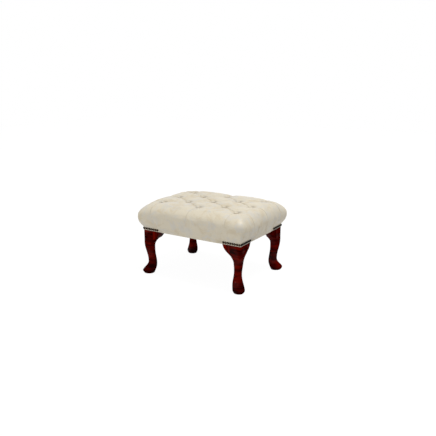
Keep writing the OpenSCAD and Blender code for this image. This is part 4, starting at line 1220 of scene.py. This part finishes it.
def notched(x, y):
    """Whether the sheet is cut away at a place, for a leg or for one of its brackets."""
    from_x, from_y = half_x - abs(x), half_y - abs(y)
    return (from_x < leg_clear and from_y < leg_clear
        or from_x < tip_clear and from_y < side_clear
        or from_x < side_clear and from_y < tip_clear)


def cambric_sheet():
    """The sheet's points and faces, and its area: it hangs slack between its staples."""
    lines_x, lines_y = dust_lines(dust_x), dust_lines(dust_y)
    grid_x, grid_y = np.meshgrid(lines_x, lines_y)
    slack = np.clip(1 - (grid_x / (half_x - staple_inset)) ** 2, 0, 1)
    slack = slack * np.clip(1 - (grid_y / (half_y - staple_inset)) ** 2, 0, 1)
    turn_to_x, turn_to_y = (grid * 2 * math.pi / DUST_PITCH for grid in (grid_x, grid_y))
    ripple = np.sin(turn_to_x + 1) * np.sin(turn_to_y)
    grid_z = dust_z - DUST_SAG * slack ** SAG_FORM + DUST_RIPPLE * ripple * slack
    faces, area = [], 0.0
    across = len(lines_x)
    for row, (front, back) in enumerate(zip(lines_y, lines_y[1:])):
        for column, (left, right) in enumerate(zip(lines_x, lines_x[1:])):
            if not notched((left + right) / 2, (front + back) / 2):
                corner = row * across + column
                faces.append((corner, corner + across, corner + across + 1, corner + 1))
                area += (right - left) * (back - front)
    used = sorted({i for face in faces for i in face})
    number = {old: new for new, old in enumerate(used)}
    points = np.stack([grid_x, grid_y, grid_z], -1).reshape(-1, 3)[used]
    return points, [tuple(number[i] for i in face) for face in faces], area


sheet_points, sheet_faces, cut_area = cambric_sheet()
dust_cover = make_piece("dust_cover_sheet", sheet_points, sheet_faces, black_cambric(),
    "dust_cloth", ["dust_cover"])
dust_wall = dust_cover.modifiers.new("cloth", "SOLIDIFY")
dust_wall.thickness, dust_wall.offset = DUST_THICKNESS, 1
places, runs = staple_places(staple_inset, DUST_PITCH, dust_z - DUST_THICKNESS)
staple_recipe.make("dust_cover_staples_bent", places, "zinc_steel", ["dust_cover_staples"], run=runs)

# Studio: a pale floor that shows as white and keeps the shadow, an even white room, and two soft
# lamps at a plain level. The camera stands where the photograph was taken from.
AMBIENT, FLOOR_SHADOW, FLOOR_GLOW, FLOOR_PALE = 0.38, 0.10, 1.07, 0.72
FLOOR_SIZE = 14.0
KEY_PLACE, KEY_SIZE, KEY_POWER = (0.90, -0.05, 3.2), 1.2, 56
FILL_PLACE, FILL_SIZE, FILL_POWER = (-0.9, -3.0, 0.5), 1.6, 20
LAMPS_AIM = (0, 0, 0.2)
CAMERA_PLACE = (1.33871, -2.09663, 0.90198)
CAMERA_TURN, CAMERA_LIFT, LENS = 32.038, 14.553, 45.83


def seen_directly(tree):
    """1 for what the camera, a reflection or a clear piece shows, 0 for light that falls on things."""
    camera, glossy, clear = (tree.node("ShaderNodeLightPath", out=kind)
        for kind in ("Is Camera Ray", "Is Glossy Ray", "Is Transmission Ray"))
    return tree.maths("MINIMUM", camera + glossy + clear, 1.0)


def light_room():
    """White where it is seen, and darker as a light."""
    world = bpy.data.worlds.new("white_room")
    bpy.context.scene.world = world
    world.use_nodes = True
    room = Tree(world.node_tree)
    strength = AMBIENT + seen_directly(room) * (1 - AMBIENT)
    room.fill(world.node_tree.nodes["Background"], {"Color": (1.0, 1.0, 1.0), "Strength": strength})


def lay_floor():
    """Paint that throws back light as a pale floor, but is seen glowing white with a faint shadow."""
    half = FLOOR_SIZE / 2
    corners = [(-half, -half, 0), (half, -half, 0), (half, half, 0), (-half, half, 0)]
    mesh = bpy.data.meshes.new("floor")
    mesh.from_pydata(corners, [], [(0, 1, 2, 3)])
    floor = bpy.data.objects.new("floor", mesh)
    bpy.context.scene.collection.objects.link(floor)
    paint = Finish("pale_floor", Base_Color=(FLOOR_PALE,) * 3, Roughness=0.9, Specular_IOR_Level=0.0)
    lit = paint.node("ShaderNodeBsdfDiffuse", None, {"Color": (1.0, 1.0, 1.0)})
    glow = paint.node("ShaderNodeEmission", None, {"Color": (1.0, 1.0, 1.0), "Strength": FLOOR_GLOW})
    shown = paint.node("ShaderNodeMixShader", None, {0: FLOOR_SHADOW, 1: glow, 2: lit})
    surface = paint.node("ShaderNodeMixShader", None,
        {0: seen_directly(paint), 1: Socket(paint, paint.shader.outputs[0]), 2: shown})
    paint.fill(paint.tree.nodes["Material Output"], {"Surface": surface})
    mesh.materials.append(paint.material)


def hang_lamp(name, place, size, power):
    """A round soft lamp that faces the stool."""
    light = bpy.data.lights.new(name, "AREA")
    light.shape, light.size, light.energy = "DISK", size, power
    lamp = bpy.data.objects.new(name, light)
    bpy.context.scene.collection.objects.link(lamp)
    lamp.location = place
    lamp.rotation_euler = (Vector(LAMPS_AIM) - lamp.location).to_track_quat("-Z", "Y").to_euler()


def stand_camera():
    """A camera that looks a little down on the stool, level from side to side."""
    camera = bpy.data.objects.new("camera", bpy.data.cameras.new("camera"))
    bpy.context.scene.collection.objects.link(camera)
    turn, lift = math.radians(CAMERA_TURN), math.radians(CAMERA_LIFT)
    ahead = Vector((-math.sin(turn) * math.cos(lift), math.cos(turn) * math.cos(lift), -math.sin(lift)))
    camera.location = CAMERA_PLACE
    camera.rotation_euler = ahead.to_track_quat("-Z", "Y").to_euler()
    camera.data.lens = LENS
    bpy.context.scene.camera = camera


light_room()
lay_floor()
hang_lamp("soft_key", KEY_PLACE, KEY_SIZE, KEY_POWER)
hang_lamp("low_fill", FILL_PLACE, FILL_SIZE, FILL_POWER)
stand_camera()
bpy.context.scene.view_settings.view_transform = "Standard"
